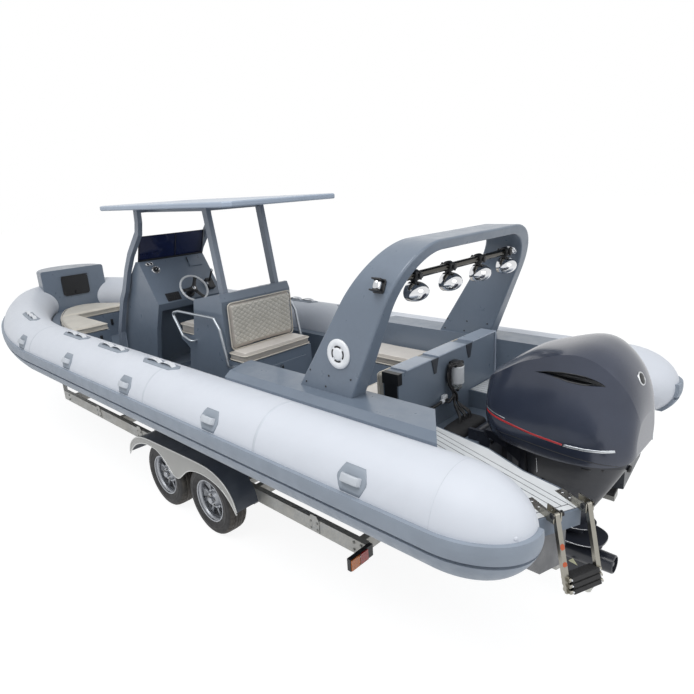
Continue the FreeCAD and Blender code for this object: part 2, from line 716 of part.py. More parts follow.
bow_rise_x = size("bow_rise_x")
aft_of_rise = box(-4000, bow_rise_x, -2000, 2000, 0, 3000)
cockpit = cockpit_room(gap, 0, floor_under - gap, 2000)
cockpit = cockpit.fuse(plan_block(gap - liner_inset, liner_start - gap, hull_top, 2000).common(aft_of_rise))
below_hull_top = Part.makeLoft([hull_section(x, True) for x in stations], True, False)
bow_rise = below_hull_top.cut(aft_of_rise)
notch_y = size("notch_side")
notch_back_y = size("notch_side_back")
notch = plan_plate([(size("notch_front"), -notch_y), (size("notch_front"), notch_y),
                    (hull_back - 50, notch_back_y), (hull_back - 50, -notch_back_y)], 0, 2000)
hull = hull.cut([tube_tool, cockpit, notch])
feature("hull", hull)

# Cockpit liner: floor and low wall inside the tubes

liner_top = size("liner_top")
bow_deck = hull_top + 45
rim = plan_block(-inset, liner_start, on_hull, liner_top)
rim = rim.cut([plan_block(-liner_inset - liner_wall, liner_start - 10, 0, 2000), below_hull_top])
bow_floor = plan_block(-liner_inset, liner_start, on_hull, bow_deck)
bow_floor = bow_floor.common(box(-4000, bow_rise_x - gap, -2000, 2000, 0, 3000))
liner = fuse([cockpit_room(0, 0, floor_under, on_hull + 1), rim, bow_floor])
liner = liner.cut([cockpit_room(0, liner_wall, floor, 2000), tube_tool])
feature("cockpit_liner", liner)
on_floor = floor + gap

# Side decks: an inner wall from the floor and a shelf that rests on the tube

deck_in = size("deck_in")
deck_out = size("deck_out")
deck_top = size("deck_top")
deck_skin = size("deck_skin")
deck_front = size("deck_front")


def platform_z(x):
    """Height of the swim platform's sloping top."""
    share = (x - size("bulkhead_back")) / (size("platform_end") - size("bulkhead_back"))
    return size("platform_front") + (size("platform_back") - size("platform_front")) * share


shelf = cross_plate([(deck_in, deck_top - deck_skin), (deck_in, deck_top), (deck_out - 70, deck_top),
                     (deck_out, deck_top - 30), (deck_out, deck_top - 110), (deck_in, deck_top - 110)],
                    size("deck_end_out"), deck_front)
inner_wall = box(size("bulkhead_back") + gap, deck_front, deck_in, deck_in + 40, on_floor, deck_top - 20)
wall_feet = [(x, platform_z(x) + gap) for x in (size("bulkhead_back"), size("deck_end_out"))]
aft_wall = side_plate(wall_feet + [(size("deck_end_out"), deck_top - 20), (size("bulkhead_back") + gap, deck_top - 20)],
                      deck_in, deck_in + 40)
under = box(size("deck_end_out") - 10, deck_front + 10, deck_in + 40, deck_out - 60, 0, deck_top - deck_skin)
deck = fuse([shelf.cut(under), inner_wall, aft_wall])
nose = plan_plate([(deck_front - 90, deck_out + 5), (deck_front + 5, deck_in + 60), (deck_front + 5, deck_out + 5)],
                  0, 2000)
tail = plan_plate([(size("deck_end_out") - 5, deck_in - 5), (size("deck_end_in"), deck_in - 5),
                   (size("deck_end_out") - 5, deck_out + 5)], 0, 2000)
deck = deck.cut([tube_tool, nose, tail])
feature("side_decks", group(both_sides(deck)))

# Bulkhead behind the aft seat, with the seat's box and its side arm

bulkhead_back = size("bulkhead_back")
bulkhead_front = bulkhead_back + size("bulkhead_wall")
seat_top = size("bow_seat_top") + 30
aft_in = deck_in - gap
bulkhead = box(bulkhead_back + gap, bulkhead_front, -aft_in, size("bulkhead_port"), on_floor, size("bulkhead_top"))
aft_box = box(bulkhead_front - 1, bulkhead_front + 430, -aft_in, size("bulkhead_port"), on_floor, seat_top)
arm_box = box(bulkhead_front + 429, deck_front - 60, -aft_in, -aft_in + 380, on_floor, seat_top)
feature("aft_seat", fuse([bulkhead, aft_box, arm_box]))

cushion = size("cushion_thick")
soft = seat_top + gap
aft_pad = box(bulkhead_front + gap, bulkhead_front + 425, -aft_in + 4, size("bulkhead_port") - 4, soft, soft + cushion)
arm_pad = box(bulkhead_front + 430, deck_front - 64, -aft_in + 4, -aft_in + 376, soft, soft + cushion)
back_pad = box(bulkhead_front + gap, bulkhead_front + 70, -aft_in + 4, size("bulkhead_port") - 4,
               soft + cushion + 4, size("bulkhead_top") - 20)
feature("aft_cushions", group([aft_pad, arm_pad, back_pad]))

# Swim platforms on the sponsons, joined across the motor well

end_x = size("platform_end")
corner_x = size("platform_corner")
platform_in = size("platform_in_front")
platform_out = size("platform_out")


def platform_block(lift):
    """Port platform over its plan, its sloping top raised by the given amount."""
    profile = [(bulkhead_back, on_hull), (bulkhead_back, platform_z(bulkhead_back) + lift),
               (end_x, platform_z(end_x) + lift), (end_x, on_hull)]
    plan = [(bulkhead_back, platform_in), (bulkhead_back, platform_out), (corner_x + 60, platform_out),
            (corner_x, platform_out - 30), (end_x, size("platform_in_back")),
            (end_x + 165, 530), (end_x + 405, 500), (end_x + 695, 400)]
    return side_plate(profile, 0, platform_out).common(plan_plate(plan, 0, 2000))


well = box(bulkhead_back, size("notch_front"), -platform_in - 20, platform_in + 20, on_hull, size("well_floor"))
feature("swim_platforms", fuse([well] + both_sides(platform_block(0).cut(tube_tool))))

# Bow locker over the tube, and its hatch

locker_back = size("locker_back")
locker_side = size("locker_side")
locker_tip = size("locker_tip")
shoulder = locker_tip - locker_side + 15
low = size("liner_top") + gap
points = [Vector(shoulder, locker_side - 12, low), Vector(locker_back, locker_side, low),
          Vector(locker_back, -locker_side, low), Vector(shoulder, -locker_side + 12, low)]
edges = [Part.LineSegment(start, stop).toShape() for start, stop in zip(points, points[1:])]
edges.append(Part.Arc(points[-1], Vector(locker_tip, 0, low), points[0]).toShape())
locker = Part.Face(Part.Wire(edges)).extrude(UP * (size("locker_top") - low))
rim = [edge for edge in locker.Edges if abs(edge.BoundBox.ZMin - size("locker_top")) < 1
       and edge.BoundBox.XMax > locker_back + 1]
locker = locker.makeFillet(35, rim)
hatch_top = size("bow_hatch_low") + size("bow_hatch_tall")
hatch_pin = hinge_pin(locker_back, locker_back - gap - 18, hatch_top, size("bow_hatch_wide") / 2)
feature("bow_locker", locker.cut(tube_tool).fuse(hatch_pin))

hatch = body("bow_hatch", x="Sizes.locker_back - Sizes.gap - 18")
panel = outline(hatch, "hatch_plan", "YZ", [
    ("-Sizes.bow_hatch_wide / 2", "Sizes.bow_hatch_low"), ("Sizes.bow_hatch_wide / 2", "Sizes.bow_hatch_low"),
    ("Sizes.bow_hatch_wide / 2", "Sizes.bow_hatch_low + Sizes.bow_hatch_tall"),
    ("-Sizes.bow_hatch_wide / 2", "Sizes.bow_hatch_low + Sizes.bow_hatch_tall")])
leaf = pad(hatch, "hatch_leaf", panel, "18")
leaf = fillet(hatch, "hatch_corners", leaf, runs_along(AHEAD), "45")
piano_hinge(hatch, "hatch", "Sizes.bow_hatch_low + Sizes.bow_hatch_tall", "Sizes.bow_hatch_wide")
knob = ring_sketch(hatch, "hatch_knob_ring", "YZ", "0", "Sizes.bow_hatch_low + 45", "26", "0")
pad(hatch, "hatch_knob", knob, "22", reverse=True)

# Bow seats and their cushions

seat_level = size("bow_seat_top")
seat_inset = liner_inset + liner_wall
bow_box = plan_block(-seat_inset - gap, bend - BOW_LEAD, bow_deck + gap, seat_level)
bow_box = bow_box.common(box(seat_back, locker_back - 5, -2000, 2000, 0, 3000))
bow_box = bow_box.cut(bow_rise)
feature("bow_seats", bow_box.cut(box(seat_back - 10, well_front, -well_side, well_side, 0, 3000)))
soft_plan = plan_block(-seat_inset - 12, bend - BOW_LEAD, seat_level + gap, seat_level + cushion)
port_pad = soft_plan.common(box(seat_back + 6, well_front - 4, well_side + 4, 2000, 0, 3000))
fore_pad = soft_plan.common(box(well_front + 4, locker_back - 8, -2000, 2000, 0, 3000))
feature("bow_cushions", group(both_sides(port_pad) + [fore_pad]))

# Console, windscreen and what is on the dash

console = body("console")
FLOOR = "Sizes.floor_level + Sizes.gap"
side_view = outline(console, "console_side_view", "XZ", [
    ("Sizes.console_front", FLOOR), ("Sizes.console_front - 40", "1450"), ("Sizes.console_front - 270", "1960"),
    ("Sizes.dash_top_x + 60", "Sizes.dash_top_z"), ("Sizes.dash_top_x", "Sizes.dash_top_z"),
    ("Sizes.dash_low_x", "Sizes.dash_low_z"), ("Sizes.dash_low_x + 120", "1510"),
    ("Sizes.console_foot_x - 20", "1180"), ("Sizes.console_foot_x", FLOOR)])
pad(console, "console_block", side_view, "2 * Sizes.console_side", symmetric=True)
foot_view = outline(console, "footwell_view", "XZ", [
    ("Sizes.dash_low_x - 200", "Sizes.floor_level + 50"), ("Sizes.footwell_deep", "Sizes.floor_level + 50"),
    ("Sizes.footwell_deep", "Sizes.footwell_top"), ("Sizes.dash_low_x - 200", "Sizes.footwell_top")])
pocket(console, "footwell", foot_view, "2 * Sizes.footwell_side", symmetric=True)

screen = body("windscreen")
SCREEN_FOOT = "Sizes.dash_top_z + Sizes.gap"
screen_view = outline(screen, "screen_view", "XZ", [
    ("Sizes.dash_top_x + 16", SCREEN_FOOT), ("Sizes.dash_top_x + 16 + Sizes.screen_thick", SCREEN_FOOT),
    ("Sizes.screen_top_x + Sizes.screen_thick", "Sizes.screen_top_z"), ("Sizes.screen_top_x", "Sizes.screen_top_z")])
pane = pad(screen, "screen_pane", screen_view, "2 * Sizes.screen_side", symmetric=True)

dash_run = math.hypot(size("dash_top_x") - size("dash_low_x"), size("dash_top_z") - size("dash_low_z"))
dash_tilt = math.atan2(size("dash_top_z") - size("dash_low_z"), size("dash_top_x") - size("dash_low_x"))
dash = Placement(Vector(size("dash_low_x"), 0, size("dash_low_z")), Rotation(PORT, -math.degrees(dash_tilt)))
helm_off = size("helm_off")
helm_up = (size("helm_level") - size("dash_low_z") - math.cos(dash_tilt) * helm_off) / math.sin(dash_tilt)


def on_dash(shape):
    moved = shape.copy()
    moved.Placement = dash.multiply(shape.Placement)
    return moved


def dial(up, across, dial_radius, tall):
    return on_dash(rod(dial_radius, (up, across, gap), (up, across, tall)))


fittings = [dial(helm_up, 0, 45, 40), dial(helm_up, 0, 22, helm_off - 34)]
fittings = [fuse(fittings)]
fittings += [dial(dash_run - 45, 330, 17, 12), dial(dash_run - 45, 285, 17, 12), dial(dash_run - 130, 265, 42, 14)]
fittings.append(on_dash(box(20, 110, 130, 290, gap, 8)))
fittings.append(on_dash(box(dash_run - 150, dash_run - 30, -330, -170, gap, 14)))
lever_base = on_dash(box(60, 190, -330, -250, gap, 60))
lever = on_dash(rod(11, (150, -290, 50), (215, -290, 190)))
fittings.append(fuse([lever_base, lever]))
feature("dash_fittings", group(fittings))

helm_radius = size("helm_radius")
rim_radius = size("helm_rim")
helm_base = helm_off - 34 + gap
wheel = [Part.makeTorus(helm_radius, rim_radius).translated(Vector(helm_up, 0, helm_off))]
wheel.append(rod(38, (helm_up, 0, helm_base), (helm_up, 0, helm_off + 6)))
for angle in (90, 210, 330):
    spoke = box(20, helm_radius, -14, 14, -5, 5).rotated(Vector(0, 0, 0), UP, angle)
    wheel.append(spoke.translated(Vector(helm_up, 0, helm_off - 8)))
feature("steering_wheel", on_dash(fuse(wheel)))

# Helm seat with arms, and the rear facing seat behind it

seat = body("helm_seat")
seat_view = outline(seat, "seat_side_view", "XZ", [
    ("Sizes.seat_foot_x", FLOOR), ("Sizes.seat_foot_x - 15", "1200"), ("Sizes.seat_foot_x - 90", "Sizes.seat_level"),
    ("Sizes.seat_arm_x + 80", "Sizes.seat_level + 40"), ("Sizes.seat_arm_x", "Sizes.seat_back_top - 85"),
    ("Sizes.seat_back_x + 65", "Sizes.seat_back_top"), ("Sizes.seat_back_x + 30", "Sizes.seat_back_top"),
    ("Sizes.seat_back_x", "Sizes.seat_back_top - 70"),
    ("Sizes.seat_back_x", "Sizes.bench_level"), ("Sizes.bench_back", "Sizes.bench_level"),
    ("Sizes.bench_back", FLOOR)])
pad(seat, "seat_block", seat_view, "2 * Sizes.seat_side", symmetric=True)
room_view = outline(seat, "seat_room_view", "XZ", [
    ("Sizes.seat_back_x + 155", "Sizes.seat_level"), ("Sizes.seat_foot_x + 100", "Sizes.seat_level"),
    ("Sizes.seat_foot_x + 100", "Sizes.seat_back_top + 50"), ("Sizes.seat_back_x + 155", "Sizes.seat_back_top + 50")])
pocket(seat, "seat_room", room_view, "2 * (Sizes.seat_side - 38)", symmetric=True)
ledge_view = outline(seat, "seat_ledge_view", "XZ", [
    ("Sizes.seat_foot_x - 130", "Sizes.seat_level - 190"), ("Sizes.seat_foot_x - 60", "Sizes.seat_level - 190"),
    ("Sizes.seat_foot_x + 170", "Sizes.seat_level - 60"), ("Sizes.seat_foot_x + 170", "Sizes.seat_level"),
    ("Sizes.seat_foot_x - 130", "Sizes.seat_level")])
pad(seat, "seat_ledge", ledge_view, "2 * (Sizes.seat_side - 45)", symmetric=True)
hinge_lugs(seat, "seat_hinge", "Sizes.bench_back", "Sizes.bench_back - Sizes.gap - 20", "Sizes.floor_level + 60",
           "2 * (Sizes.seat_side - 70)")

half = size("seat_side") - 38 - 5
seat_level = size("seat_level") + gap
back_x = size("seat_back_x")
back_front = back_x + 155
seat_pad = box(back_front + 20, size("seat_foot_x") + 185, -half, half, seat_level, seat_level + 115)
lean_pad = box(back_front + gap, back_front + 60, -half, half, seat_level + 120, size("seat_back_top") - 65)
feature("helm_cushions", group([seat_pad, lean_pad]))
bench_back = size("bench_back")
bench_level = size("bench_level")
half = size("seat_side")
bench_pad = box(bench_back - 12, back_x - gap, -half, half, bench_level + gap, bench_level + cushion)
quilt = box(back_x - 52, back_x - gap, -half + 30, half - 30, bench_level + cushion + 4, size("seat_back_top") - 80)
feature("bench_cushions", group([bench_pad, quilt]))

door = body("seat_hatch", x="Sizes.bench_back - Sizes.gap - 20")
door_plan = outline(door, "door_plan", "YZ", [
    ("-Sizes.seat_side + 70", "Sizes.floor_level + 60"), ("Sizes.seat_side - 70", "Sizes.floor_level + 60"),
    ("Sizes.seat_side - 70", "Sizes.bench_level - 95"), ("-Sizes.seat_side + 70", "Sizes.bench_level - 95")])
door_leaf = pad(door, "door_leaf", door_plan, "20")
door_leaf = fillet(door, "door_corners", door_leaf, runs_along(AHEAD), "25")
piano_hinge(door, "door", "Sizes.floor_level + 60", "2 * (Sizes.seat_side - 70)")
latch_plan = outline(door, "latch_plan", "YZ", [
    ("-18", "Sizes.bench_level - 185"), ("18", "Sizes.bench_level - 185"),
    ("18", "Sizes.bench_level - 115"), ("-18", "Sizes.bench_level - 115")])
pad(door, "door_latch", latch_plan, "16", reverse=True)

rail_y = size("seat_side") + 55
start_y = size("seat_side") + gap
rail = bent_tube([(1000, start_y, 1500), (1000, rail_y, 1500), (1160, rail_y, 1545), (1315, rail_y, 1770),
                  (1190, rail_y, 1800), (545, rail_y, 1800), (465, rail_y, 1700), (385, rail_y, 1320),
                  (385, start_y, 1320)], 14, 34)
feature("grab_rails", group(both_sides(rail)))

# T-top: flat roof on two straight and two bowed legs

roof = body("ttop_roof")
roof_plan = outline(roof, "roof_plan", "XY", [
    ("Sizes.roof_back", "-Sizes.roof_side + 60"), ("Sizes.roof_back + 60", "-Sizes.roof_side"),
    ("Sizes.roof_front - 260", "-Sizes.roof_side"), ("Sizes.roof_front", "-Sizes.roof_side + 130"),
    ("Sizes.roof_front", "Sizes.roof_side - 130"), ("Sizes.roof_front - 260", "Sizes.roof_side"),
    ("Sizes.roof_back + 60", "Sizes.roof_side"), ("Sizes.roof_back", "Sizes.roof_side - 60")],
    offset="Sizes.roof_under")
slab = pad(roof, "roof_slab", roof_plan, "Sizes.roof_thick")
fillet(roof, "roof_edges", slab, lambda edge: edge.BoundBox.ZLength < 1, "Sizes.roof_edge")

leg_wide = size("leg_wide")
leg_thick = size("leg_thick")
roof_under = size("roof_under") - gap
leg_x = size("aft_leg_x")
leg_y = size("aft_leg_side")
fore_leg_x = size("fore_leg_x")
bar_half = 20
frame_low = roof_under - 40


def offset_line(points, distance):
    """Line moved to the left of its way, with mitred corners."""
    moved = []
    for index, (across, along) in enumerate(points):
        before = points[max(index - 1, 0)]
        after = points[min(index + 1, len(points) - 1)]
        ways = []
        for start, stop in ((before, points[index]), (points[index], after)):
            long = math.hypot(stop[0] - start[0], stop[1] - start[1])
            if long > 0:
                ways.append(((stop[0] - start[0]) / long, (stop[1] - start[1]) / long))
        normal = (-sum(way[1] for way in ways), sum(way[0] for way in ways))
        scale = math.hypot(*normal)
        normal = (normal[0] / scale, normal[1] / scale)
        reach = distance / (-normal[0] * ways[0][1] + normal[1] * ways[0][0])
        moved.append((across + normal[0] * reach, along + normal[1] * reach))
    return moved


def band(points, wide):
    """Outline of a strip along a line of points."""
    return offset_line(points, wide / 2) + offset_line(points, -wide / 2)[::-1]


leg_foot = size("seat_back_top") + gap
foot_x = size("seat_back_x") + 65
aft_leg = side_plate([(foot_x, leg_foot), (foot_x + leg_wide - 2, leg_foot - 15), (leg_x + leg_wide / 2, roof_under),
                      (leg_x - leg_wide / 2, roof_under)], leg_y - leg_thick / 2, leg_y + leg_thick / 2)
leg_share = [(2620, -0.026), (2600, 0.239), (2430, 0.451), (2340, 0.515), (2220, 0.642), (2100, 0.737), (1990, 0.796),
             (1860, 0.865), (fore_leg_x, 0.928), (fore_leg_x, 1.034)]
fore_line = [(x, floor + share * (roof_under - floor)) for x, share in leg_share]
fore_leg = side_plate(band(fore_line, leg_wide), -leg_thick / 2, leg_thick / 2)
fore_leg = fore_leg.translated(Vector(0, size("fore_leg_side"), 0))
fore_leg = fore_leg.rotated(Vector(0, size("fore_leg_side"), floor), AHEAD, size("fore_leg_lean"))
fore_leg = fore_leg.common(box(0, 4000, 0, 2000, on_floor, roof_under))
fore_leg_top = size("fore_leg_side") - (roof_under - floor) * math.tan(math.radians(size("fore_leg_lean")))
bars = [box(leg_x - bar_half, leg_x + bar_half, -leg_y, leg_y, frame_low, roof_under)]
bars.append(box(fore_leg_x - bar_half, fore_leg_x + bar_half, -fore_leg_top, fore_leg_top, frame_low, roof_under))
side_bar = box(leg_x, fore_leg_x, leg_y - bar_half, leg_y + bar_half, frame_low, roof_under)
feature("ttop_frame", fuse(both_sides(aft_leg) + both_sides(fore_leg) + both_sides(side_bar) + bars))

# Arch over the aft cockpit, with its lamps

arch_foot = deck_top + gap
arch_top = size("arch_top")


def arch_face(foot_y, neck_y, top, corner):
    """Front view of the arch inside one of its lines, its legs tangent to the rounded corners."""
    leg = Vector(0, neck_y - foot_y, top - corner - arch_foot).normalize()
    inward = Vector(0, -leg.z, leg.y)
    turn_z = top - corner
    turn_y = foot_y + ((turn_z - arch_foot) * leg.y - corner) / leg.z
    centre = Vector(0, turn_y, turn_z)
    start = centre - inward * corner
    middle = centre + (UP - inward).normalize() * corner
    stop = Vector(0, turn_y, top)
    other = [Vector(0, -point.y, point.z) for point in (start, middle, stop)]
    edges = [Part.LineSegment(Vector(0, foot_y, arch_foot), start).toShape(), Part.Arc(start, middle, stop).toShape()]
    edges.append(Part.LineSegment(stop, other[2]).toShape())
    edges.append(Part.Arc(other[2], other[1], other[0]).toShape())
    edges.append(Part.LineSegment(other[0], Vector(0, -foot_y, arch_foot)).toShape())
    edges.append(Part.LineSegment(Vector(0, -foot_y, arch_foot), Vector(0, foot_y, arch_foot)).toShape())
    return Part.Face(Part.Wire(edges))


def arch_opening(inset):
    """Space inside the arch, drawn in by the given amount."""
    wall = size("arch_wall") + inset
    corner = size("arch_corner") - size("arch_lid") - inset
    face = arch_face(size("arch_side") - wall - 35, size("arch_side_top") - wall, arch_top - size("arch_lid") - inset,
                     corner)
    return face.extrude(AHEAD * 3000).translated(Vector(-3000, 0, 0))


arch_front = arch_face(size("arch_side"), size("arch_side_top"), arch_top, size("arch_corner"))
arch_block = arch_front.extrude(AHEAD * 3000).translated(Vector(-3000, 0, 0))
lean = side_plate([(size("arch_foot_front"), arch_foot), (size("arch_foot_back"), arch_foot),
                   (size("arch_top_back"), arch_top), (size("arch_top_front"), arch_top)], -2000, 2000)
arch = arch_block.cut(arch_opening(0)).common(lean)
rims = [edge for edge in arch.Edges if edge.BoundBox.ZMax > arch_foot + 1
        and edge.BoundBox.YLength + edge.BoundBox.ZLength > 1]
feature("arch", arch.makeFillet(size("arch_edge"), rims))

bar_x = size("lamp_bar_x")
bar_z = size("lamp_bar_z")
lamp_radius = size("lamp_radius")
lamp_depth = size("lamp_depth")
lamp_front = size("lamp_front")
dome_curve = Part.Ellipse(Vector(0, 0, 0), lamp_depth, lamp_radius)
dome = Part.ArcOfEllipse(dome_curve, math.pi / 2, math.pi).toShape()
rim_points = [(0, lamp_radius), (lamp_front, lamp_radius), (lamp_front, lamp_radius - 7), (lamp_front - 9, lamp_radius - 9),
              (lamp_front - 9, 0), (-lamp_depth, 0)]
rim_points = [Vector(x, y, 0) for x, y in rim_points]
rim_edges = [Part.LineSegment(start, stop).toShape() for start, stop in zip(rim_points, rim_points[1:])]
lamp_face = Part.Face(Part.Wire(Part.__sortEdges__([dome] + rim_edges)))
lamp_shell = lamp_face.revolve(Vector(0, 0, 0), AHEAD, 360)
widen = FreeCAD.Matrix()
widen.scale(1, size("lamp_wide") / 100, 1)
lamp_shell = lamp_shell.transformGeometry(widen)
lamp_z = bar_z - 24 - 12 - lamp_radius
bar = rod(24, (bar_x, -1000, bar_z), (bar_x, 1000, bar_z)).common(arch_opening(gap))
shapes = [bar]
lamps = []
for index in range(4):
    lamp_y = 550 - index * size("lamp_pitch")
    shapes.append(rod(34, (bar_x, lamp_y - 18, bar_z), (bar_x, lamp_y + 18, bar_z)))
    shapes.append(box(bar_x - 44, bar_x + 44, lamp_y - 13, lamp_y + 13, bar_z - 9, bar_z + 9))
    shapes.append(rod(13, (bar_x, lamp_y, bar_z), (bar_x, lamp_y, lamp_z + lamp_radius + gap)))
    lamps.append(lamp_shell.translated(Vector(bar_x, lamp_y, lamp_z)))
feature("lamp_bar", fuse(shapes))
feature("work_lamps", group(lamps))

# Fuel filter and rigging tray ahead of the motor

well_top = size("well_floor") + gap
filter_x = bulkhead_back - 55
filter_y = -100
filter_parts = [rod(48, (filter_x, filter_y, 1440), (filter_x, filter_y, 1600))]
filter_parts.append(rod(34, (filter_x, filter_y, 1400), (filter_x, filter_y, 1441)))
filter_parts.append(box(filter_x - 35, bulkhead_back, filter_y - 50, filter_y + 50, 1570, 1622))
tray = box(bulkhead_back - 290, bulkhead_back - 120, -130, 130, well_top, well_top + 34)
feature("fuel_filter", group([fuse(filter_parts), tray]))
hoses = []
for hose_y in (-128, -72):
    hoses.append(bent_tube([(filter_x - 44, hose_y, 1425 + 85), (filter_x - 84, hose_y, 1425 + 85),
                            (filter_x - 84, hose_y, 1300), (filter_x - 130, hose_y, 1240),
                            (filter_x - 130, hose_y, well_top + 34 + gap)], 9, 30))

# Outboard motor: clamp, swivel, leg and cowl

tilt_x = size("motor_tilt_x")
tilt_z = size("motor_tilt_z")
steer_x = size("motor_steer_x")
pin = size("motor_pin")
transom_x = size("notch_front") - gap
hook = side_plate([(tilt_x + 60, well_top), (tilt_x + 60, tilt_z + 38), (tilt_x - 60, tilt_z + 38),
                   (tilt_x - 110, tilt_z - 40), (transom_x - 50, 800), (transom_x, 800), (transom_x, well_top)],
                  140, 165)
clamp = both_sides(hook)
clamp.append(box(transom_x - 22, transom_x, -145, 145, 820, 1080))
clamp.append(rod(pin, (tilt_x, -172, tilt_z), (tilt_x, 172, tilt_z)))
feature("motor_clamp", fuse(clamp))

swivel_top = 1218
swivel_low = 782
boss = rod(pin + 18, (tilt_x, -134, tilt_z), (tilt_x, 134, tilt_z))
arm = side_plate([(tilt_x - 10, tilt_z + 20), (tilt_x - 20, tilt_z - 22), (steer_x, 1000), (steer_x, swivel_top)],
                 -42, 42)
shoulder_block = side_plate([(tilt_x - 10, tilt_z + 20), (tilt_x - 20, tilt_z - 22), (tilt_x - 190, 1120),
                             (tilt_x - 190, swivel_top)], -88, 88)
post = rod(45, (steer_x, 0, swivel_low), (steer_x, 0, swivel_top))
swivel = fuse([boss, arm, shoulder_block, post])
swivel = swivel.cut(rod(pin + gap, (tilt_x, -200, tilt_z), (tilt_x, 200, tilt_z)))
swivel = swivel.cut(rod(pin + gap, (steer_x, 0, 500), (steer_x, 0, 1500)))
feature("motor_swivel", swivel)


def plan_ring(z, front, back, half, power=2.8, count=32):
    """Rounded oblong in a level plane."""
    points = []
    for index in range(count):
        angle = 2 * math.pi * index / count
        across, along = math.sin(angle), math.cos(angle)
        x = (front + back) / 2 + (front - back) / 2 * math.copysign(abs(along) ** (2 / power), along)
        y = half * math.copysign(abs(across) ** (2 / power), across)
        points.append(Vector(x, y, z))
    curve = Part.BSplineCurve()
    curve.interpolate(points, PeriodicFlag=True)
    return Part.Wire(curve.toShape())


cowl_low = size("cowl_low")
cowl_top = size("cowl_top")
front = size("cowl_front")
back = size("cowl_back")
cowl_half = size("cowl_side")
cowl_long = front - back
cowl_tall = cowl_top - cowl_low


def cowl_ring(share, wide, low, crease_wide, crease, crown):
    """Cross-section of the cowl at a share of its length: foot, creased sides and a crowned top."""
    x = front - share * cowl_long
    half_wide = wide * cowl_half
    z_low, z_crease, z_crown = [cowl_low + height * cowl_tall for height in (low, crease, crown)]
    waist = z_low + (z_crease - z_low) * 0.42
    side = [Vector(x, 0.86 * half_wide, z_low), Vector(x, 0.975 * half_wide, z_low + (waist - z_low) * 0.42),
            Vector(x, half_wide, waist), Vector(x, crease_wide * half_wide, z_crease)]
    top = [side[-1], Vector(x, 0.55 * crease_wide * half_wide, z_crease + 0.78 * (z_crown - z_crease)),
           Vector(x, 0, z_crown)]
    edges = []
    for points in (side, top + [Vector(x, -point.y, point.z) for point in top[-2::-1]],
                   [Vector(x, -point.y, point.z) for point in side[::-1]]):
        curve = Part.BSplineCurve()
        curve.interpolate(points)
        edges.append(curve.toShape())
    edges.append(Part.LineSegment(Vector(x, -side[0].y, z_low), side[0]).toShape())
    return Part.Wire(edges)
cowl_rings = [(0.000, 0.46, 0.240, 0.82, 0.480, 0.520), (0.018, 0.68, 0.155, 0.80, 0.560, 0.608),
              (0.075, 0.86, 0.090, 0.80, 0.630, 0.680), (0.190, 0.96, 0.035, 0.83, 0.730, 0.785),
              (0.360, 1.00, 0.010, 0.86, 0.850, 0.905), (0.540, 1.01, 0.000, 0.87, 0.930, 0.975),
              (0.665, 1.00, 0.005, 0.85, 0.950, 1.000), (0.780, 0.97, 0.020, 0.80, 0.895, 0.965),
              (0.880, 0.90, 0.045, 0.76, 0.780, 0.860), (0.950, 0.78, 0.075, 0.74, 0.640, 0.710),
              (0.990, 0.62, 0.110, 0.74, 0.480, 0.540), (1.000, 0.50, 0.140, 0.74, 0.400, 0.440)]
cowl = Part.makeLoft([cowl_ring(*ring) for ring in cowl_rings], True, False)


def cowl_point(share, height):
    return Vector(front - share * cowl_long, 0, cowl_low + height * cowl_tall)


intake = []
for points in ([(0.40, 0.762), (0.58, 0.800), (0.72, 0.792), (0.83, 0.735)],
               [(0.83, 0.735), (0.70, 0.725), (0.55, 0.748), (0.40, 0.762)]):
    curve = Part.BSplineCurve()
    curve.interpolate([cowl_point(*point) for point in points])
    intake.append(curve.toShape())
intake = Part.Face(Part.Wire(intake)).extrude(Vector(0, 200, 0))
intake_floor = cowl_half - size("intake_deep")
cowl = cowl.cut(group(both_sides(intake.translated(Vector(0, intake_floor, 0)))))
feature("motor_cowl", cowl)

leg_top = cowl_low + 0.15 * cowl_tall
shaft_z = size("shaft_level")
leg_rings = [(leg_top, -2400, -3110, 190), (1190, -2410, -3095, 165), (1000, -2430, -3000, 120),
             (800, -2450, -2890, 84), (660, -2455, -2850, 64), (560, -2470, -2840, 48), (shaft_z, -2500, -2830, 40)]
leg = Part.makeLoft([plan_ring(*ring, power=2.3) for ring in leg_rings], True, True)
yoke_front = steer_x + 38
yoke_back = steer_x - 80
yokes = [box(yoke_back, yoke_front, -60, 60, swivel_top + play, leg_top)]
leg = leg.fuse(yokes[0]).cut(cowl.translated(Vector(0, 0, -gap))).cut(box(-4000, 0, -1000, 1000, leg_top - 10, 3000))
room = box(steer_x - 55, steer_x + 200, -300, 300, swivel_low - play, swivel_top + play)
room = room.fuse(rod(45 + 12, (steer_x, 0, swivel_low - play), (steer_x, 0, swivel_top + play)))
leg = leg.cut(room)
yokes = [box(yoke_back, yoke_front, -40, 40, swivel_low - play - 50, swivel_low - play)]
yokes.append(rod(pin, (steer_x, 0, swivel_low - play - 30), (steer_x, 0, swivel_top + play + 10)))
gear_radius = size("gearcase_radius")
gear_end = size("gearcase_end")
outlet_floor = gear_end + 60
nose_x = -2560
nose_curve = Part.Ellipse(Vector(nose_x, 0, 0), 130, gear_radius)
nose = Part.ArcOfEllipse(nose_curve, 0, math.pi / 2).toShape()
case_points = [(nose_x, gear_radius), (-2900, gear_radius), (gear_end + 6, gear_radius - 4), (gear_end, gear_radius - 9),
               (gear_end, gear_radius - 14), (outlet_floor, gear_radius - 16), (outlet_floor, 14), (gear_end + 8, 14),
               (gear_end + 8, 0), (nose_x + 130, 0)]
case_points = [Vector(x, y, 0) for x, y in case_points]
case_edges = [Part.LineSegment(start, stop).toShape() for start, stop in zip(case_points, case_points[1:])]
case_face = Part.Face(Part.Wire(Part.__sortEdges__([nose] + case_edges)))
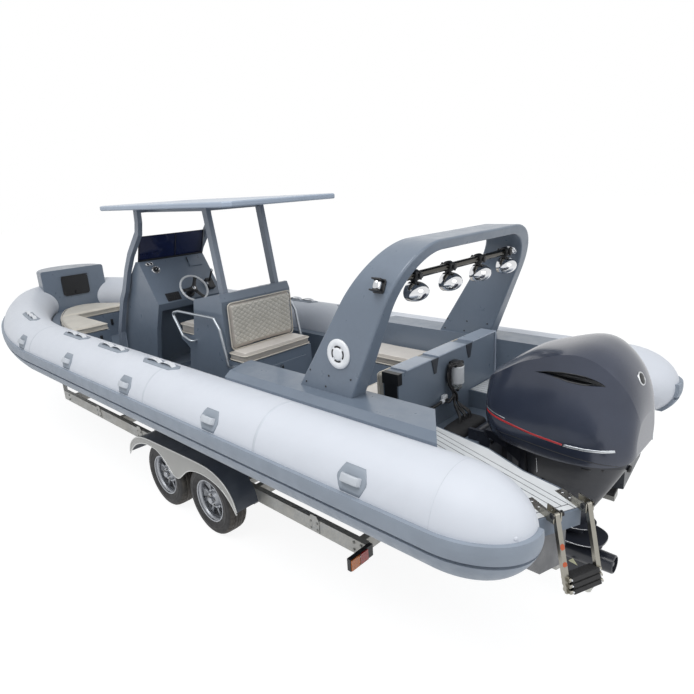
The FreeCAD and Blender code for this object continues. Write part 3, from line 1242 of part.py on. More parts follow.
gear = case_face.revolve(Vector(0, 0, 0), AHEAD, 360).translated(Vector(0, 0, shaft_z))
leg = leg.cut(rod(gear_radius - 20, (gear_end - 10, 0, shaft_z), (outlet_floor, 0, shaft_z)))
skeg_level = size("skeg_level")
skeg = side_plate([(-2590, shaft_z - 40), (-2960, shaft_z - 40), (-2955, skeg_level + 90), (-2925, skeg_level + 10),
                   (-2905, skeg_level), (-2800, skeg_level + 6), (-2700, shaft_z - 130)], -7, 7)
plate_z = size("plate_level")
plates = [Part.Face(plan_ring(plate_z, -2450, -3000, 150, 2.8)).extrude(UP * 12)]
plates.append(Part.Face(plan_ring(plate_z + 88, -2440, -2925, 118, 2.6)).extrude(UP * 10))
tab = side_plate([(-2905, plate_z + 4), (-2985, plate_z + 4), (-2975, plate_z - 55), (-2945, plate_z - 60)], -11, 11)
feature("motor_leg", fuse([leg, gear, skeg, tab] + yokes + plates))

# Boarding ladder on the port platform: a hinged section with two more that slide out of it

ladder_turn = math.radians(size("ladder_angle"))
edge_y = 735
edge_share = (edge_y - size("platform_in_back")) / (platform_out - 30 - size("platform_in_back"))
edge_x = end_x + (corner_x - end_x) * edge_share
out_way = Vector(-math.cos(ladder_turn), math.sin(ladder_turn), 0)
along_way = Vector(math.sin(ladder_turn), math.cos(ladder_turn), 0)
hinge_z = size("ladder_hinge_z")
hinge = Vector(edge_x, edge_y, hinge_z) + out_way * 34
ladder_lean = math.radians(size("ladder_lean"))
up_way = UP * math.cos(ladder_lean) - out_way * math.sin(ladder_lean)


def frame_place(x_way, z_way):
    """Placement at the ladder's hinge with the given local X and Z."""
    y_way = z_way.cross(x_way)
    matrix = FreeCAD.Matrix(x_way.x, y_way.x, z_way.x, hinge.x, x_way.y, y_way.y, z_way.y, hinge.y,
                            x_way.z, y_way.z, z_way.z, hinge.z, 0, 0, 0, 1)
    return Placement(matrix)


def placed(shape, placement):
    moved = shape.copy()
    moved.Placement = placement.multiply(shape.Placement)
    return moved


bracket_place = frame_place(along_way, UP)
ladder_place = frame_place(along_way, up_way)
half = size("ladder_side")
stringer_wide = size("stringer_wide")
stringer_deep = size("stringer_deep")
stringer_x = half - stringer_wide / 2
pin_radius = 6
lug = 8
strap_long = size("ladder_strap")
platform_face = side_plate([(-3200, platform_z(-3200) + gap), (-2600, platform_z(-2600) + gap),
                            (-2600, platform_z(-2600) + gap + 5), (-3200, platform_z(-3200) + gap + 5)], 0, 2000)
brackets = []
for sign in (-1, 1):
    near = half - stringer_wide - play - lug
    far = half + play + lug
    cheeks = [rod(pin_radius, (sign * near, 0, 0), (sign * far, 0, 0))]
    for low_x, high_x in ((near, near + lug), (far - lug, far)):
        cheeks.append(box(min(sign * low_x, sign * high_x), max(sign * low_x, sign * high_x), -90, 12, -56, 13))
    strap = box(min(sign * near, sign * far), max(sign * near, sign * far), -strap_long, -38, -80, 80)
    cheeks = placed(fuse(cheeks), bracket_place).cut(platform_block(gap))
    cheeks = cheeks.common(box(-4000, 0, 0, 2000, platform_z(end_x), 2000))
    brackets.append(cheeks.fuse(placed(strap, bracket_place).common(platform_face)).removeSplitter())
feature("ladder_bracket", group(brackets))

reach = size("ladder_reach") - 40
tube_wall = 1.7
tread_thick = size("tread_thick")


def section_half(order):
    """Half width and half depth of a stringer's tube, the first of them outside the rest."""
    less = order * (tube_wall + gap)
    return stringer_wide / 2 - less, stringer_deep / 2 - less


def ladder_section(order, start, stop, hollow, tread):
    """Two stringers that hang from the start to the stop, with a tread on their lower ends."""
    wide, deep = section_half(order)
    section = box(-stringer_x, stringer_x, -32, 32, -tread, -tread + tread_thick)
    section = section.makeFillet(tread_thick / 2 - 1, [edge for edge in section.Edges if runs_along(AHEAD)(edge)])
    for sign in (-1, 1):
        centre = sign * stringer_x
        section = section.fuse(box(centre - wide, centre + wide, -deep, deep, -stop, -start))
    for sign in (-1, 1):
        centre = sign * stringer_x
        if hollow:
            inner_wide, inner_deep = wide - tube_wall, deep - tube_wall
            section = section.cut(box(centre - inner_wide, centre + inner_wide, -inner_deep, inner_deep,
                                      -stop - 60, -start - 20))
    return section


top_section = ladder_section(0, 0, reach, True, reach - 4)
for sign in (-1, 1):
    centre = sign * stringer_x
    top_section = top_section.fuse(rod(13, (centre - stringer_wide / 2, 0, 0), (centre + stringer_wide / 2, 0, 0)))
top_section = top_section.cut(rod(pin_radius + gap, (-half - 5, 0, 0), (half + 5, 0, 0)))
feature("ladder_top", placed(top_section, ladder_place))
mid_section = ladder_section(1, 40, reach + 28, True, reach + 28)
feature("ladder_middle", placed(mid_section, ladder_place))
low_section = ladder_section(2, 66, reach + 60, False, reach + 60)
feature("ladder_low", placed(low_section, ladder_place))

# Trailer: rails that close in on the drawbar, cross-members and bunk posts

rail_top = size("rail_top")
rail_low = rail_top - size("rail_height")
rail_wall = size("rail_wall")
rail_flange = size("rail_flange")
rail_y = size("rail_side")
drawbar_half = size("drawbar_wide") / 2
rail_line = [(size("rail_back"), rail_y), (size("rail_bend"), rail_y), (size("drawbar_join"), drawbar_half + 12)]


def rail_strip(wide, z0, z1):
    return plan_plate(rail_line + offset_line(rail_line, -wide)[::-1], z0, z1)


channel = [rail_strip(rail_wall, rail_low, rail_top)]
channel.append(rail_strip(rail_flange, rail_low, rail_low + rail_wall))
channel.append(rail_strip(rail_flange, rail_top - rail_wall, rail_top))
channel = fuse(channel)
drawbar_low = rail_low
drawbar_top = drawbar_low + size("drawbar_wide")
drawbar_front = size("coupling_front") - 180
drawbar = box(3500, drawbar_front, -drawbar_half, drawbar_half, drawbar_low, drawbar_top)
hollow = box(3600, drawbar_front + 10, -drawbar_half + 6, drawbar_half - 6, drawbar_low + 6, drawbar_top - 6)
cross_places = (-1600, -380, 1150, 2200, 3500)
crosses = []
for cross_x in cross_places:
    crosses.append(box(cross_x - 30, cross_x + 30, -rail_y + 3, rail_y - 3, rail_low + rail_wall, rail_top - rail_wall))
chassis = fuse(both_sides(channel) + [drawbar.cut(hollow)] + crosses)

bunk_y = size("bunk_side")
keel = size("keel_level")
deadrise = (size("chine_level") - keel) / size("chine_side")
bunk_back = size("bunk_back")
bunk_front = size("bunk_front")


def bunk_strip(half_wide, depth, thick):
    """Port strip under the hull's bottom, its top a depth below the hull."""
    low_y, high_y = bunk_y - half_wide, bunk_y + half_wide
    tops = [keel + deadrise * y - depth for y in (low_y, high_y)]
    return cross_plate([(low_y, tops[0]), (high_y, tops[1]), (high_y, tops[1] - thick), (low_y, tops[0] - thick)],
                       bunk_back, bunk_front)


bunk_pad = size("bunk_pad")
pad_depth = gap * 1.05
beam_depth = pad_depth * 2 + bunk_pad
bunk_beam = bunk_strip(32, beam_depth, 50)
bunk_shapes = [chassis] + both_sides(bunk_beam)
for cross_x in cross_places[:4]:
    post = box(cross_x - 25, cross_x + 25, bunk_y - 25, bunk_y + 25, rail_top - rail_wall - 1,
               keel + deadrise * (bunk_y - 25) - beam_depth - 10)
    bunk_shapes += both_sides(post)
feature("trailer_frame", fuse(bunk_shapes))
feature("bunk_pads", group(both_sides(bunk_strip(45, pad_depth, bunk_pad))))

# Axles with their leaf springs

hub_z = size("hub_level")
spacing = size("axle_spacing")
stub = size("stub_radius")
wheel_y = size("wheel_side")
axle_shapes = []
eye = 330
for axle_x in (0, spacing):
    axle_shapes.append(box(axle_x - 30, axle_x + 30, -865, 865, hub_z - 30, hub_z + 30))
    axle_shapes.append(rod(stub, (axle_x, -wheel_y - 40, hub_z), (axle_x, wheel_y + 40, hub_z)))
    leaf_line = [(axle_x - eye, 335), (axle_x - 200, 300), (axle_x, 286), (axle_x + 200, 300), (axle_x + eye, 335)]
    leaf_pack = side_plate(band(leaf_line, 24), rail_y - 60, rail_y - 6)
    axle_shapes += both_sides(leaf_pack)
hanger_top = rail_low - gap
for hanger_x, hanger_half in ((-eye, 26), (spacing / 2, spacing / 2 - eye + 20), (spacing + eye, 26)):
    hanger = side_plate([(hanger_x - hanger_half - 20, hanger_top), (hanger_x - hanger_half, 316),
                         (hanger_x + hanger_half, 316), (hanger_x + hanger_half + 20, hanger_top)],
                        rail_y - 56, rail_y - 10)
    axle_shapes += both_sides(hanger)
feature("axles", fuse(axle_shapes))

# Wheels: tyre, rim with eight windows and its hub

EIGHT = 8
for end_name, wheel_x in (("rear", "0"), ("front", "Sizes.axle_spacing")):
    for side_name, sign in SIDES:
        y_text = "Sizes.wheel_side" if sign > 0 else "-Sizes.wheel_side"
        half_turn = Rotation(UP, 180) if sign < 0 else None
        tyre = body("tyre_%s_%s" % (end_name, side_name), x=wheel_x, y=y_text, z="Sizes.hub_level", turn=half_turn)
        half_wide = "Sizes.tyre_width / 2"
        profile = outline(tyre, tyre.Name + "_profile", "YZ", [
            ("-" + half_wide + " + 10", "Sizes.rim_radius"), ("-" + half_wide, "Sizes.rim_radius + 30"),
            ("-" + half_wide, "Sizes.rim_radius + 80"), ("-" + half_wide + " + 12", "Sizes.hub_level - 14"),
            ("-" + half_wide + " + 34", "Sizes.hub_level"), (half_wide + " - 34", "Sizes.hub_level"),
            (half_wide + " - 12", "Sizes.hub_level - 14"), (half_wide, "Sizes.rim_radius + 80"),
            (half_wide, "Sizes.rim_radius + 30"), (half_wide + " - 10", "Sizes.rim_radius")])
        revolve(tyre, tyre.Name + "_ring", profile)
        rim = body("rim_%s_%s" % (end_name, side_name), x=wheel_x, y=y_text, z="Sizes.hub_level", turn=half_turn)
        seat_text = "Sizes.rim_radius - Sizes.gap"
        bore_text = "Sizes.stub_radius + Sizes.hub_play"
        profile = outline(rim, rim.Name + "_profile", "YZ", [
            ("-85", seat_text), ("85", seat_text), ("85", "Sizes.rim_radius - 13"), ("38", "Sizes.rim_radius - 13"),
            ("32", "75"), ("60", "60"), ("60", "0"), ("48", "0"), ("48", bore_text), ("-92", bore_text),
            ("-92", "62"), ("-20", "62"), ("12", "75"), ("18", "Sizes.rim_radius - 13"),
            ("-85", "Sizes.rim_radius - 13")])
        revolve(rim, rim.Name + "_turned", profile)
        window = outline(rim, rim.Name + "_window", "XZ", [
            ("-26", "92"), ("26", "92"), ("50", "168"), ("-50", "168")])
        cut = pocket(rim, rim.Name + "_opening", window, "300", symmetric=True)
        pattern = rim.newObject("PartDesign::PolarPattern", rim.Name + "_openings")
        pattern.Originals = [cut]
        pattern.Axis = ([item for item in rim.Origin.OriginFeatures if item.Role == "Y_Axis"][0], [""])
        pattern.Angle = 360
        pattern.Occurrences = EIGHT
        rim.Tip = pattern
        doc.recompute()

# Mudguards over each pair of wheels

def height_on(line, x):
    """Height of a line of points at a place along the boat."""
    for (x0, z0), (x1, z1) in zip(line, line[1:]):
        if min(x0, x1) <= x <= max(x0, x1):
            return z0 + (z1 - z0) * (x - x0) / (x1 - x0)


fender_line = [(1400, 440), (1110, 640), (740, 670), (20, 690), (-250, 650), (-420, 520)]
fender_low = [(-450, 370), (-370, 460), (-230, 560), (40, 590), (280, 530), (480, 410), (660, 490), (840, 600),
              (1130, 570), (1420, 380)]
skin = size("fender_skin")
fender_in = size("fender_in")
fender_out = size("fender_out")
skin_outline = fender_line + offset_line(fender_line, skin)[::-1]
fender = [side_plate(skin_outline, fender_in, fender_out)]
fender.append(side_plate(fender_line + fender_low, fender_out - skin, fender_out))
for stay_x in (-350, spacing / 2, 1210):
    stay = side_plate([(stay_x - 25, rail_low + 10), (stay_x + 25, rail_low + 10),
                       (stay_x + 25, height_on(fender_line, stay_x + 25)),
                       (stay_x - 25, height_on(fender_line, stay_x - 25))], rail_y + gap, fender_in + skin)
    fender.append(stay)
fenders = fuse(fender)
feature("mudguards", group(both_sides(fenders)))

# Lamps at the trailer's aft end

lamp_face = size("rail_back") - gap
housing = box(lamp_face - 32, lamp_face, rail_y - 45, 1090, 402, 496)
feature("tail_lamp_housings", group(both_sides(housing)))
lenses = [box(lamp_face - 32 - gap - 10, lamp_face - 32 - gap, 915, 998, 408, 490)]
lenses.append(box(lamp_face - 32 - gap - 10, lamp_face - 32 - gap, 1002, 1085, 408, 490))
feature("tail_lamp_lenses", group(both_sides(lenses[0]) + both_sides(lenses[1])))

# Winch post with its bow stop, winch and coupling

bow_x = tight_x + bow_radius
post_x = bow_x + size("post_ahead")
post_half = 40
stop_x = bow_x - size("bow_stop_back")
stop_z = size("bow_stop_z")
stop_pin = 17
arm_half = 20
on_drawbar = drawbar_top + gap
winch_post = [box(post_x - post_half, post_x + post_half, -post_half, post_half, on_drawbar, stop_z + 47)]
winch_post.append(box(post_x - 90, post_x + 90, -60, 60, on_drawbar, on_drawbar + 10))
winch_post.append(side_plate([(post_x - 30, stop_z - 53), (stop_x + 60, stop_z - 53), (stop_x - 20, stop_z - 18),
                              (stop_x - 20, stop_z + 18), (stop_x + 50, stop_z + 37), (post_x - 30, stop_z + 37)],
                             -arm_half, arm_half))
winch_post.append(rod(stop_pin, (stop_x, -70, stop_z), (stop_x, 70, stop_z)))
feature("winch_post", fuse(winch_post))
stop = rod(44, (stop_x, -66, stop_z), (stop_x, 66, stop_z))
stop = stop.cut(rod(stop_pin + gap, (stop_x, -90, stop_z), (stop_x, 90, stop_z)))
stop = stop.cut(box(stop_x - 100, stop_x + 150, -arm_half - gap, arm_half + gap, stop_z - 100, stop_z + 100))
feature("bow_stop", group([stop]))
drum_x = post_x - 90
drum_z = stop_z - 263
plate_back = post_x - post_half - gap
winch = [box(drum_x - 40, plate_back, side_y, side_y + 5, drum_z - 60, drum_z + 60) for side_y in (-60, 55)]
winch.append(box(plate_back - 6, plate_back, -58, 58, drum_z - 60, drum_z + 60))
winch.append(rod(34, (drum_x, -58, drum_z), (drum_x, 58, drum_z)))
winch.append(rod(9, (drum_x, 55, drum_z), (drum_x, 95, drum_z)))
winch.append(rod(7, (drum_x, 90, drum_z), (drum_x, 90, drum_z + 150)))
winch.append(rod(14, (drum_x, 84, drum_z + 145), (drum_x, 190, drum_z + 145)))
feature("winch", fuse(winch))

coupling_front = size("coupling_front")
ball = size("ball_radius")
ball_x = coupling_front - 45
coupling = [box(drawbar_front + gap, ball_x, -44, 44, drawbar_low + 4, drawbar_top - 4)]
coupling.append(rod(45, (ball_x, 0, drawbar_low - 4), (ball_x, 0, drawbar_top - 14)))
coupling.append(side_plate([(drawbar_front + 20, drawbar_top - 5), (drawbar_front + 40, drawbar_top + 30),
                            (ball_x + 10, drawbar_top + 44), (ball_x + 10, drawbar_top + 30),
                            (drawbar_front + 110, drawbar_top - 5)], -18, 18))
coupling = fuse(coupling)
socket = Part.makeSphere(ball + gap, Vector(ball_x, 0, drawbar_low + 30))
socket = socket.fuse(rod(ball + gap, (ball_x, 0, drawbar_low - 10), (ball_x, 0, drawbar_low + 30)))
feature("coupling", coupling.cut(socket))

# Jockey wheel on its screw post beside the drawbar

jockey_x = size("jockey_x")
jockey_y = size("jockey_side")
jockey_tube = size("jockey_tube")
jockey_radius = size("jockey_radius")
jockey_half = size("jockey_width") / 2
leg_parts = [rod(jockey_tube, (jockey_x, jockey_y, 250), (jockey_x, jockey_y, 880))]
leg_parts.append(box(jockey_x - 35, jockey_x + 35, drawbar_half + gap, jockey_y, drawbar_low + 10, drawbar_top - 10))
leg_parts.append(rod(9, (jockey_x, jockey_y, 880), (jockey_x, jockey_y, 912)))
leg_parts.append(rod(7, (jockey_x, jockey_y, 905), (jockey_x + 120, jockey_y, 905)))
leg_parts.append(rod(12, (jockey_x + 115, jockey_y, 898), (jockey_x + 115, jockey_y, 985)))
jockey_leg = fuse(leg_parts).cut(rod(25, (jockey_x, jockey_y, 240), (jockey_x, jockey_y, 500)))
feature("jockey_post", jockey_leg)
trail = 35
fork_half = jockey_half + play
crown_z = 2 * jockey_radius + play
fork = [rod(25 - gap, (jockey_x, jockey_y, crown_z), (jockey_x, jockey_y, 450))]
fork.append(box(jockey_x - 75, jockey_x + 30, jockey_y - fork_half - 5, jockey_y + fork_half + 5, crown_z, crown_z + 10))
for cheek_y in (jockey_y - fork_half - 5, jockey_y + fork_half):
    fork.append(side_plate([(jockey_x - 75, crown_z + 5), (jockey_x + 30, crown_z + 5),
                            (jockey_x - trail + 18, jockey_radius - 14), (jockey_x - trail - 18, jockey_radius - 14)],
                           cheek_y, cheek_y + 5))
fork.append(rod(8, (jockey_x - trail, jockey_y - fork_half - 8, jockey_radius),
                (jockey_x - trail, jockey_y + fork_half + 8, jockey_radius)))
feature("jockey_fork", fuse(fork))
jockey = rod(jockey_radius, (jockey_x - trail, jockey_y - jockey_half, jockey_radius),
             (jockey_x - trail, jockey_y + jockey_half, jockey_radius))
jockey = jockey.makeFillet(8, [edge for edge in jockey.Edges if edge.Closed and edge.Length > 100])
feature("jockey_wheel", jockey.cut(rod(8 + gap, (jockey_x - trail, jockey_y - 60, jockey_radius),
                                       (jockey_x - trail, jockey_y + 60, jockey_radius))))
feature("fuel_hoses", group(hoses))

doc.recompute()
for item in doc.Objects:
    if "Invalid" in item.State or "Error" in item.State:
        raise RuntimeError("not built: " + item.Label)
for item in sub_parts:
    if item.Shape.isNull() or not item.Shape.isValid():
        raise RuntimeError("not valid: " + item.Label)

os.makedirs("parts", exist_ok=True)
for item in sub_parts:
    item.Shape.exportStep("parts/" + item.Label + ".step")
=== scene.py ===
import math

import bmesh
import bpy
from mathutils import Matrix, Vector
from mathutils.bvhtree import BVHTree


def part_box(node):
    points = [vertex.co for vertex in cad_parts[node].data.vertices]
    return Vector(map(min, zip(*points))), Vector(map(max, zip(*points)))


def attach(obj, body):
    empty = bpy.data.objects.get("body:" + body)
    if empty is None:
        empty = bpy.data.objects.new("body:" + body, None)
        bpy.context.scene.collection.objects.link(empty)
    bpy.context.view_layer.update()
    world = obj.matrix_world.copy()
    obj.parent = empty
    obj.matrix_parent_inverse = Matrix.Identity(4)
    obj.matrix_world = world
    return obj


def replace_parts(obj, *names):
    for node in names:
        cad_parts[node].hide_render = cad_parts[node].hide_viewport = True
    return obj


# Rigid inflatable boat on its road trailer: materials and the pieces that the plain solids don't have.
# Everything is in metres in the frame's axes: +X to the bow, +Y to port, Z = 0 on the ground.
# Lengthwise distances count from the rear axle, and place() turns them into points.

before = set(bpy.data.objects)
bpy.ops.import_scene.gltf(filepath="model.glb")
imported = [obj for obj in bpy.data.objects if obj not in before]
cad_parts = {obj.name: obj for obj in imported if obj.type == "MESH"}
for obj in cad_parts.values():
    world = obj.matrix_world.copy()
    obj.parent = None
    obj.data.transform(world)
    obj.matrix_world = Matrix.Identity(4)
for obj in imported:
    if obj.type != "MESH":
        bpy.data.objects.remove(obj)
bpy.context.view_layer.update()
BOAT = "boat_and_trailer"
SIDES = (1, -1)
UP = Vector((0, 0, 1))
AXLE_X = sum(corner.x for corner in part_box("rim_rear_port")) / 2
TUBE_RADIUS = 0.280
TUBE_SIDE = 1.223
TUBE_LEVEL = 1.318
TUBE_BEND = 2.940
TUBE_SEAM = -2.650
SHEER = math.radians(3)
SHEER_PIVOT = TUBE_BEND - 0.030
BOW_TURN = math.radians(30)
BOW_RADIUS = 0.750
LONG_RADIUS = (TUBE_SIDE - BOW_RADIUS * math.cos(BOW_TURN)) / (1 - math.cos(BOW_TURN))


def place(x, y, z):
    """Point from its distance ahead of the rear axle, to port and above the ground."""
    return Vector((AXLE_X + x, y, z))


# Camera, light and floor


def photo_camera():
    right = Vector((-0.7299, -0.6810, -0.0583))
    down = Vector((-0.1498, 0.2426, -0.9585))
    forward = right.cross(down)
    down = forward.cross(right)
    data = bpy.data.cameras.new("photo_camera")
    data.sensor_width = 36
    focal_pixels, image_pixels = 561, 694
    data.lens = 36 * focal_pixels / image_pixels
    data.clip_end = 200
    item = bpy.data.objects.new("photo_camera", data)
    rotation = Matrix((right.normalized(), -down.normalized(), -forward.normalized())).transposed()
    item.matrix_world = Matrix.Translation(place(-4.024, 3.400, 2.965)) @ rotation.to_4x4()
    bpy.context.scene.collection.objects.link(item)
    bpy.context.scene.camera = item


def area_light(name, spot, target, size, power):
    data = bpy.data.lights.new(name, "AREA")
    data.shape = "DISK"
    data.size = size
    data.energy = power
    item = bpy.data.objects.new(name, data)
    item.location = spot
    item.rotation_euler = (Vector(target) - Vector(spot)).to_track_quat("-Z", "Y").to_euler()
    bpy.context.scene.collection.objects.link(item)


def shader_node(tree, kind, inputs, output=0, **settings):
    """Output of a new node. Its inputs are given as values or links, by socket."""
    made = tree.nodes.new("ShaderNode" + kind)
    for name, value in settings.items():
        setattr(made, name, value)
    for socket, value in inputs.items():
        if isinstance(value, bpy.types.NodeSocket):
            tree.links.new(value, made.inputs[socket])
        else:
            made.inputs[socket].default_value = value
    return made.outputs[output]


def seen_directly(tree):
    """1 for the rays of the camera, of glass and of glossy surfaces, 0 for the light that they gather."""
    paths = tree.nodes.new("ShaderNodeLightPath").outputs
    total = paths["Is Camera Ray"]
    for name in ("Is Glossy Ray", "Is Transmission Ray"):
        total = shader_node(tree, "Math", {0: total, 1: paths[name]}, operation="MAXIMUM")
    return total


def show_mix(tree, output, share, lit, seen):
    """Lead a mix of two shaders to the output of a tree."""
    mix = shader_node(tree, "MixShader", {"Fac": share, 1: lit, 2: seen})
    tree.links.new(mix, tree.nodes.new(output).inputs["Surface"])


def studio_world():
    """White where the camera, glass or metal looks at it, and a plain grey level as light."""
    world = bpy.data.worlds.new("studio")
    bpy.context.scene.world = world
    world.use_nodes = True
    tree = world.node_tree
    tree.nodes.clear()
    sky = shader_node(tree, "Background", {"Color": (0.90, 0.95, 1.0, 1), "Strength": 0.58})
    white = shader_node(tree, "Background", {"Color": (1, 1, 1, 1), "Strength": 1.0})
    show_mix(tree, "ShaderNodeOutputWorld", seen_directly(tree), sky, white)


def white_floor():
    size = 60
    mesh = bpy.data.meshes.new("floor")
    corners = [(-size, -size, 0), (size, -size, 0), (size, size, 0), (-size, size, 0)]
    mesh.from_pydata(corners, [], [(0, 1, 2, 3)])
    item = bpy.data.objects.new("floor", mesh)
    bpy.context.scene.collection.objects.link(item)
    paint = bpy.data.materials.new("floor_white")
    paint.use_nodes = True
    tree = paint.node_tree
    tree.nodes.clear()
    share = shader_node(tree, "Math", {0: seen_directly(tree), 1: 0.72}, operation="MULTIPLY")
    matt = shader_node(tree, "BsdfDiffuse", {"Color": (0.80, 0.80, 0.80, 1)})
    glow = shader_node(tree, "Emission", {"Color": (1, 1, 1, 1), "Strength": 1.25})
    show_mix(tree, "ShaderNodeOutputMaterial", share, matt, glow)
    mesh.materials.append(paint)


photo_camera()
studio_world()
white_floor()
area_light("high_light", (-3.0, 4.0, 9.0), (-0.5, 0.0, 1.2), 6.0, 400)
area_light("stern_light", (-9.0, 1.0, 4.5), (-2.0, 0.0, 1.2), 4.0, 90)
bpy.context.scene.view_settings.view_transform = "Standard"


# Materials


class Shader:
    """One procedural material on the part's own coordinates."""

    SOCKETS = {"rough": "Roughness", "metal": "Metallic", "coat": "Coat Weight",
               "coat_rough": "Coat Roughness",
               "sheen": "Sheen Weight", "clear": "Transmission Weight", "ior": "IOR"}

    def __init__(self, name, tone, rough, metal=0.0, coat=0.0, coat_rough=0.08, **more):
        self.paint = bpy.data.materials.new(name)
        self.paint.use_nodes = True
        self.tree = self.paint.node_tree
        self.surface = self.tree.nodes["Principled BSDF"].inputs
        self.surface["Base Color"].default_value = (*tone, 1)
        for key, value in dict(more, rough=rough, metal=metal, coat=coat, coat_rough=coat_rough).items():
            self.surface[self.SOCKETS[key]].default_value = value
        self.tone = tone
        self.rough = rough
        self.place = self.tree.nodes.new("ShaderNodeTexCoord").outputs["Object"]
        self.colour = None
        self.height = None

    def node(self, kind, inputs, output=0, **settings):
        return shader_node(self.tree, kind, inputs, output, **settings)

    def noise(self, scale, detail=4, stretch=None):
        place = self.place
        if stretch:
            place = self.node("Mapping", {"Scale": stretch, "Vector": place}, "Vector")
        return self.node("TexNoise", {"Scale": scale, "Detail": detail, "Vector": place}, "Fac")

    def cells(self, scale):
        return self.node("TexVoronoi", {"Scale": scale, "Vector": self.place}, "Distance")

    def bands(self, scale, direction="Y"):
        return self.node("TexWave", {"Scale": scale, "Vector": self.place}, "Fac", bands_direction=direction)

    def ramp(self, source, low, high, left, right):
        """Turn a value into a number between left and right as it goes from low to high."""
        return self.node("MapRange", {"From Min": low, "From Max": high, "To Min": left, "To Max": right,
                                      "Value": source}, "Result")

    def math(self, kind, first, second=None):
        return self.node("Math", {0: first} if second is None else {0: first, 1: second}, operation=kind)

    def axis(self, name):
        return self.node("SeparateXYZ", {0: self.place}, name)

    def tint(self, share, tone):
        """Blend another colour in where the share is high."""
        under = (*self.tone, 1) if self.colour is None else self.colour
        self.colour = self.node("Mix", {"A": under, "B": (*tone, 1), "Factor": share}, "Result",
                                data_type="RGBA")
        return self

    def mottle(self, scale, amount):
        """Uneven lighter and darker tone."""
        shade = tuple(channel * (1 - amount) for channel in self.tone)
        return self.tint(self.ramp(self.noise(scale, 5), 0.35, 0.65, 0, 1), shade)

    def uneven_gloss(self, scale, amount):
        value = self.ramp(self.noise(scale), 0.3, 0.7, self.rough - amount, self.rough + amount)
        self.tree.links.new(value, self.surface["Roughness"])
        return self

    def bump(self, source, depth, distance=0.001):
        inputs = {"Strength": depth, "Distance": distance, "Height": source}
        if self.height is not None:
            inputs["Normal"] = self.height
        self.height = self.node("Bump", inputs, "Normal")
        return self

    def grain(self, scale, depth, distance=0.001, stretch=None):
        return self.bump(self.noise(scale, 3, stretch), depth, distance)

    def weave(self, pitch, depth, distance=0.0004):
        """Threads that cross, along each axis."""
        x, y, z = [self.bands(0.314 / pitch, direction) for direction in "XYZ"]
        return self.bump(self.math("ADD", self.math("ADD", x, y), z), depth, distance)

    def done(self):
        for value, socket in ((self.colour, "Base Color"), (self.height, "Normal")):
            if value is not None:
                self.tree.links.new(value, self.surface[socket])
        return self.paint


def linear(red, green, blue):
    """Colour as the renderer keeps it, from the usual 0 to 255 values."""
    parts = []
    for channel in (red, green, blue):
        share = channel / 255
        parts.append(share / 12.92 if share <= 0.04045 else ((share + 0.055) / 1.055) ** 2.4)
    return tuple(parts)


def finish(name, tone, rough, mottles, grain, gloss, **more):
    """Material with an uneven tone, a grain and an uneven gloss."""
    look = Shader(name, tone, rough, **more)
    for scale, amount in mottles:
        look.mottle(scale, amount)
    look.grain(*grain)
    return look.uneven_gloss(*gloss).done()


def gelcoat(name, tone, wear=0.10, coat=0.15):
    mottles = ((3.5, wear), (30, wear * 0.3))
    return finish(name, tone, 0.34, mottles, (55, 0.10, 0.0008), (12, 0.07), coat=coat)


def rubber(name, tone, rough=0.55):
    return finish(name, tone, rough, ((6, 0.10),), (260, 0.25, 0.0006), (18, 0.08))


def plastic(name, tone, rough=0.40, coat=0.0):
    return finish(name, tone, rough, ((12, 0.08),), (420, 0.18, 0.0004), (25, 0.06), coat=coat)


def polished(name, tone, rough=0.10):
    return finish(name, tone, rough, ((18, 0.06),), (90, 0.05, 0.0005, (1, 1, 6)), (30, 0.05), metal=1.0)


def tube_fabric():
    look = Shader("tube_fabric", linear(216, 219, 226), 0.45, sheen=0.15)
    look.mottle(2.2, 0.05).mottle(14, 0.025)
    look.weave(0.0016, 0.25)
    look.grain(3.0, 0.25, 0.004)
    return look.uneven_gloss(9, 0.06).done()


def galvanised():
    look = Shader("galvanised", linear(178, 176, 170), 0.46, metal=0.60)
    look.tint(look.ramp(look.cells(55), 0.1, 0.7, 0, 0.5), linear(140, 146, 152))
    look.mottle(5, 0.15)
    look.grain(140, 0.15, 0.0006)
    return look.uneven_gloss(16, 0.12).done()


def vinyl():
    look = Shader("cushion_vinyl", linear(214, 207, 194), 0.48, sheen=0.2)
    look.mottle(7, 0.09)
    look.bump(look.cells(520), 0.22, 0.0005)
    look.grain(40, 0.2, 0.0015)
    return look.uneven_gloss(14, 0.07).done()


def cowl_paint():
    look = Shader("cowl_gloss", linear(54, 60, 76), 0.26, metal=0.25, coat=0.35)
    look.tint(look.ramp(look.noise(900, 2), 0.5, 0.75, 0, 0.35), linear(96, 104, 122))
    look.mottle(4, 0.08)
    return look.grain(60, 0.04, 0.0005).done()


def leg_paint():
    """Dark paint, worn to bright metal on the skeg's foot."""
    look = Shader("leg_paint", linear(38, 41, 50), 0.36, coat=0.15)
    look.mottle(10, 0.10)
    uneven = look.ramp(look.noise(26, 6), 0.3, 0.7, -0.045, 0.045)
    height = look.math("ADD", look.axis("Z"), uneven)
    look.tint(look.ramp(height, 0.235, 0.250, 1, 0), linear(196, 196, 190))
    look.tree.links.new(look.ramp(height, 0.235, 0.250, 0.75, 0.0), look.surface["Metallic"])
    look.grain(300, 0.15, 0.0005)
    return look.uneven_gloss(20, 0.07).done()


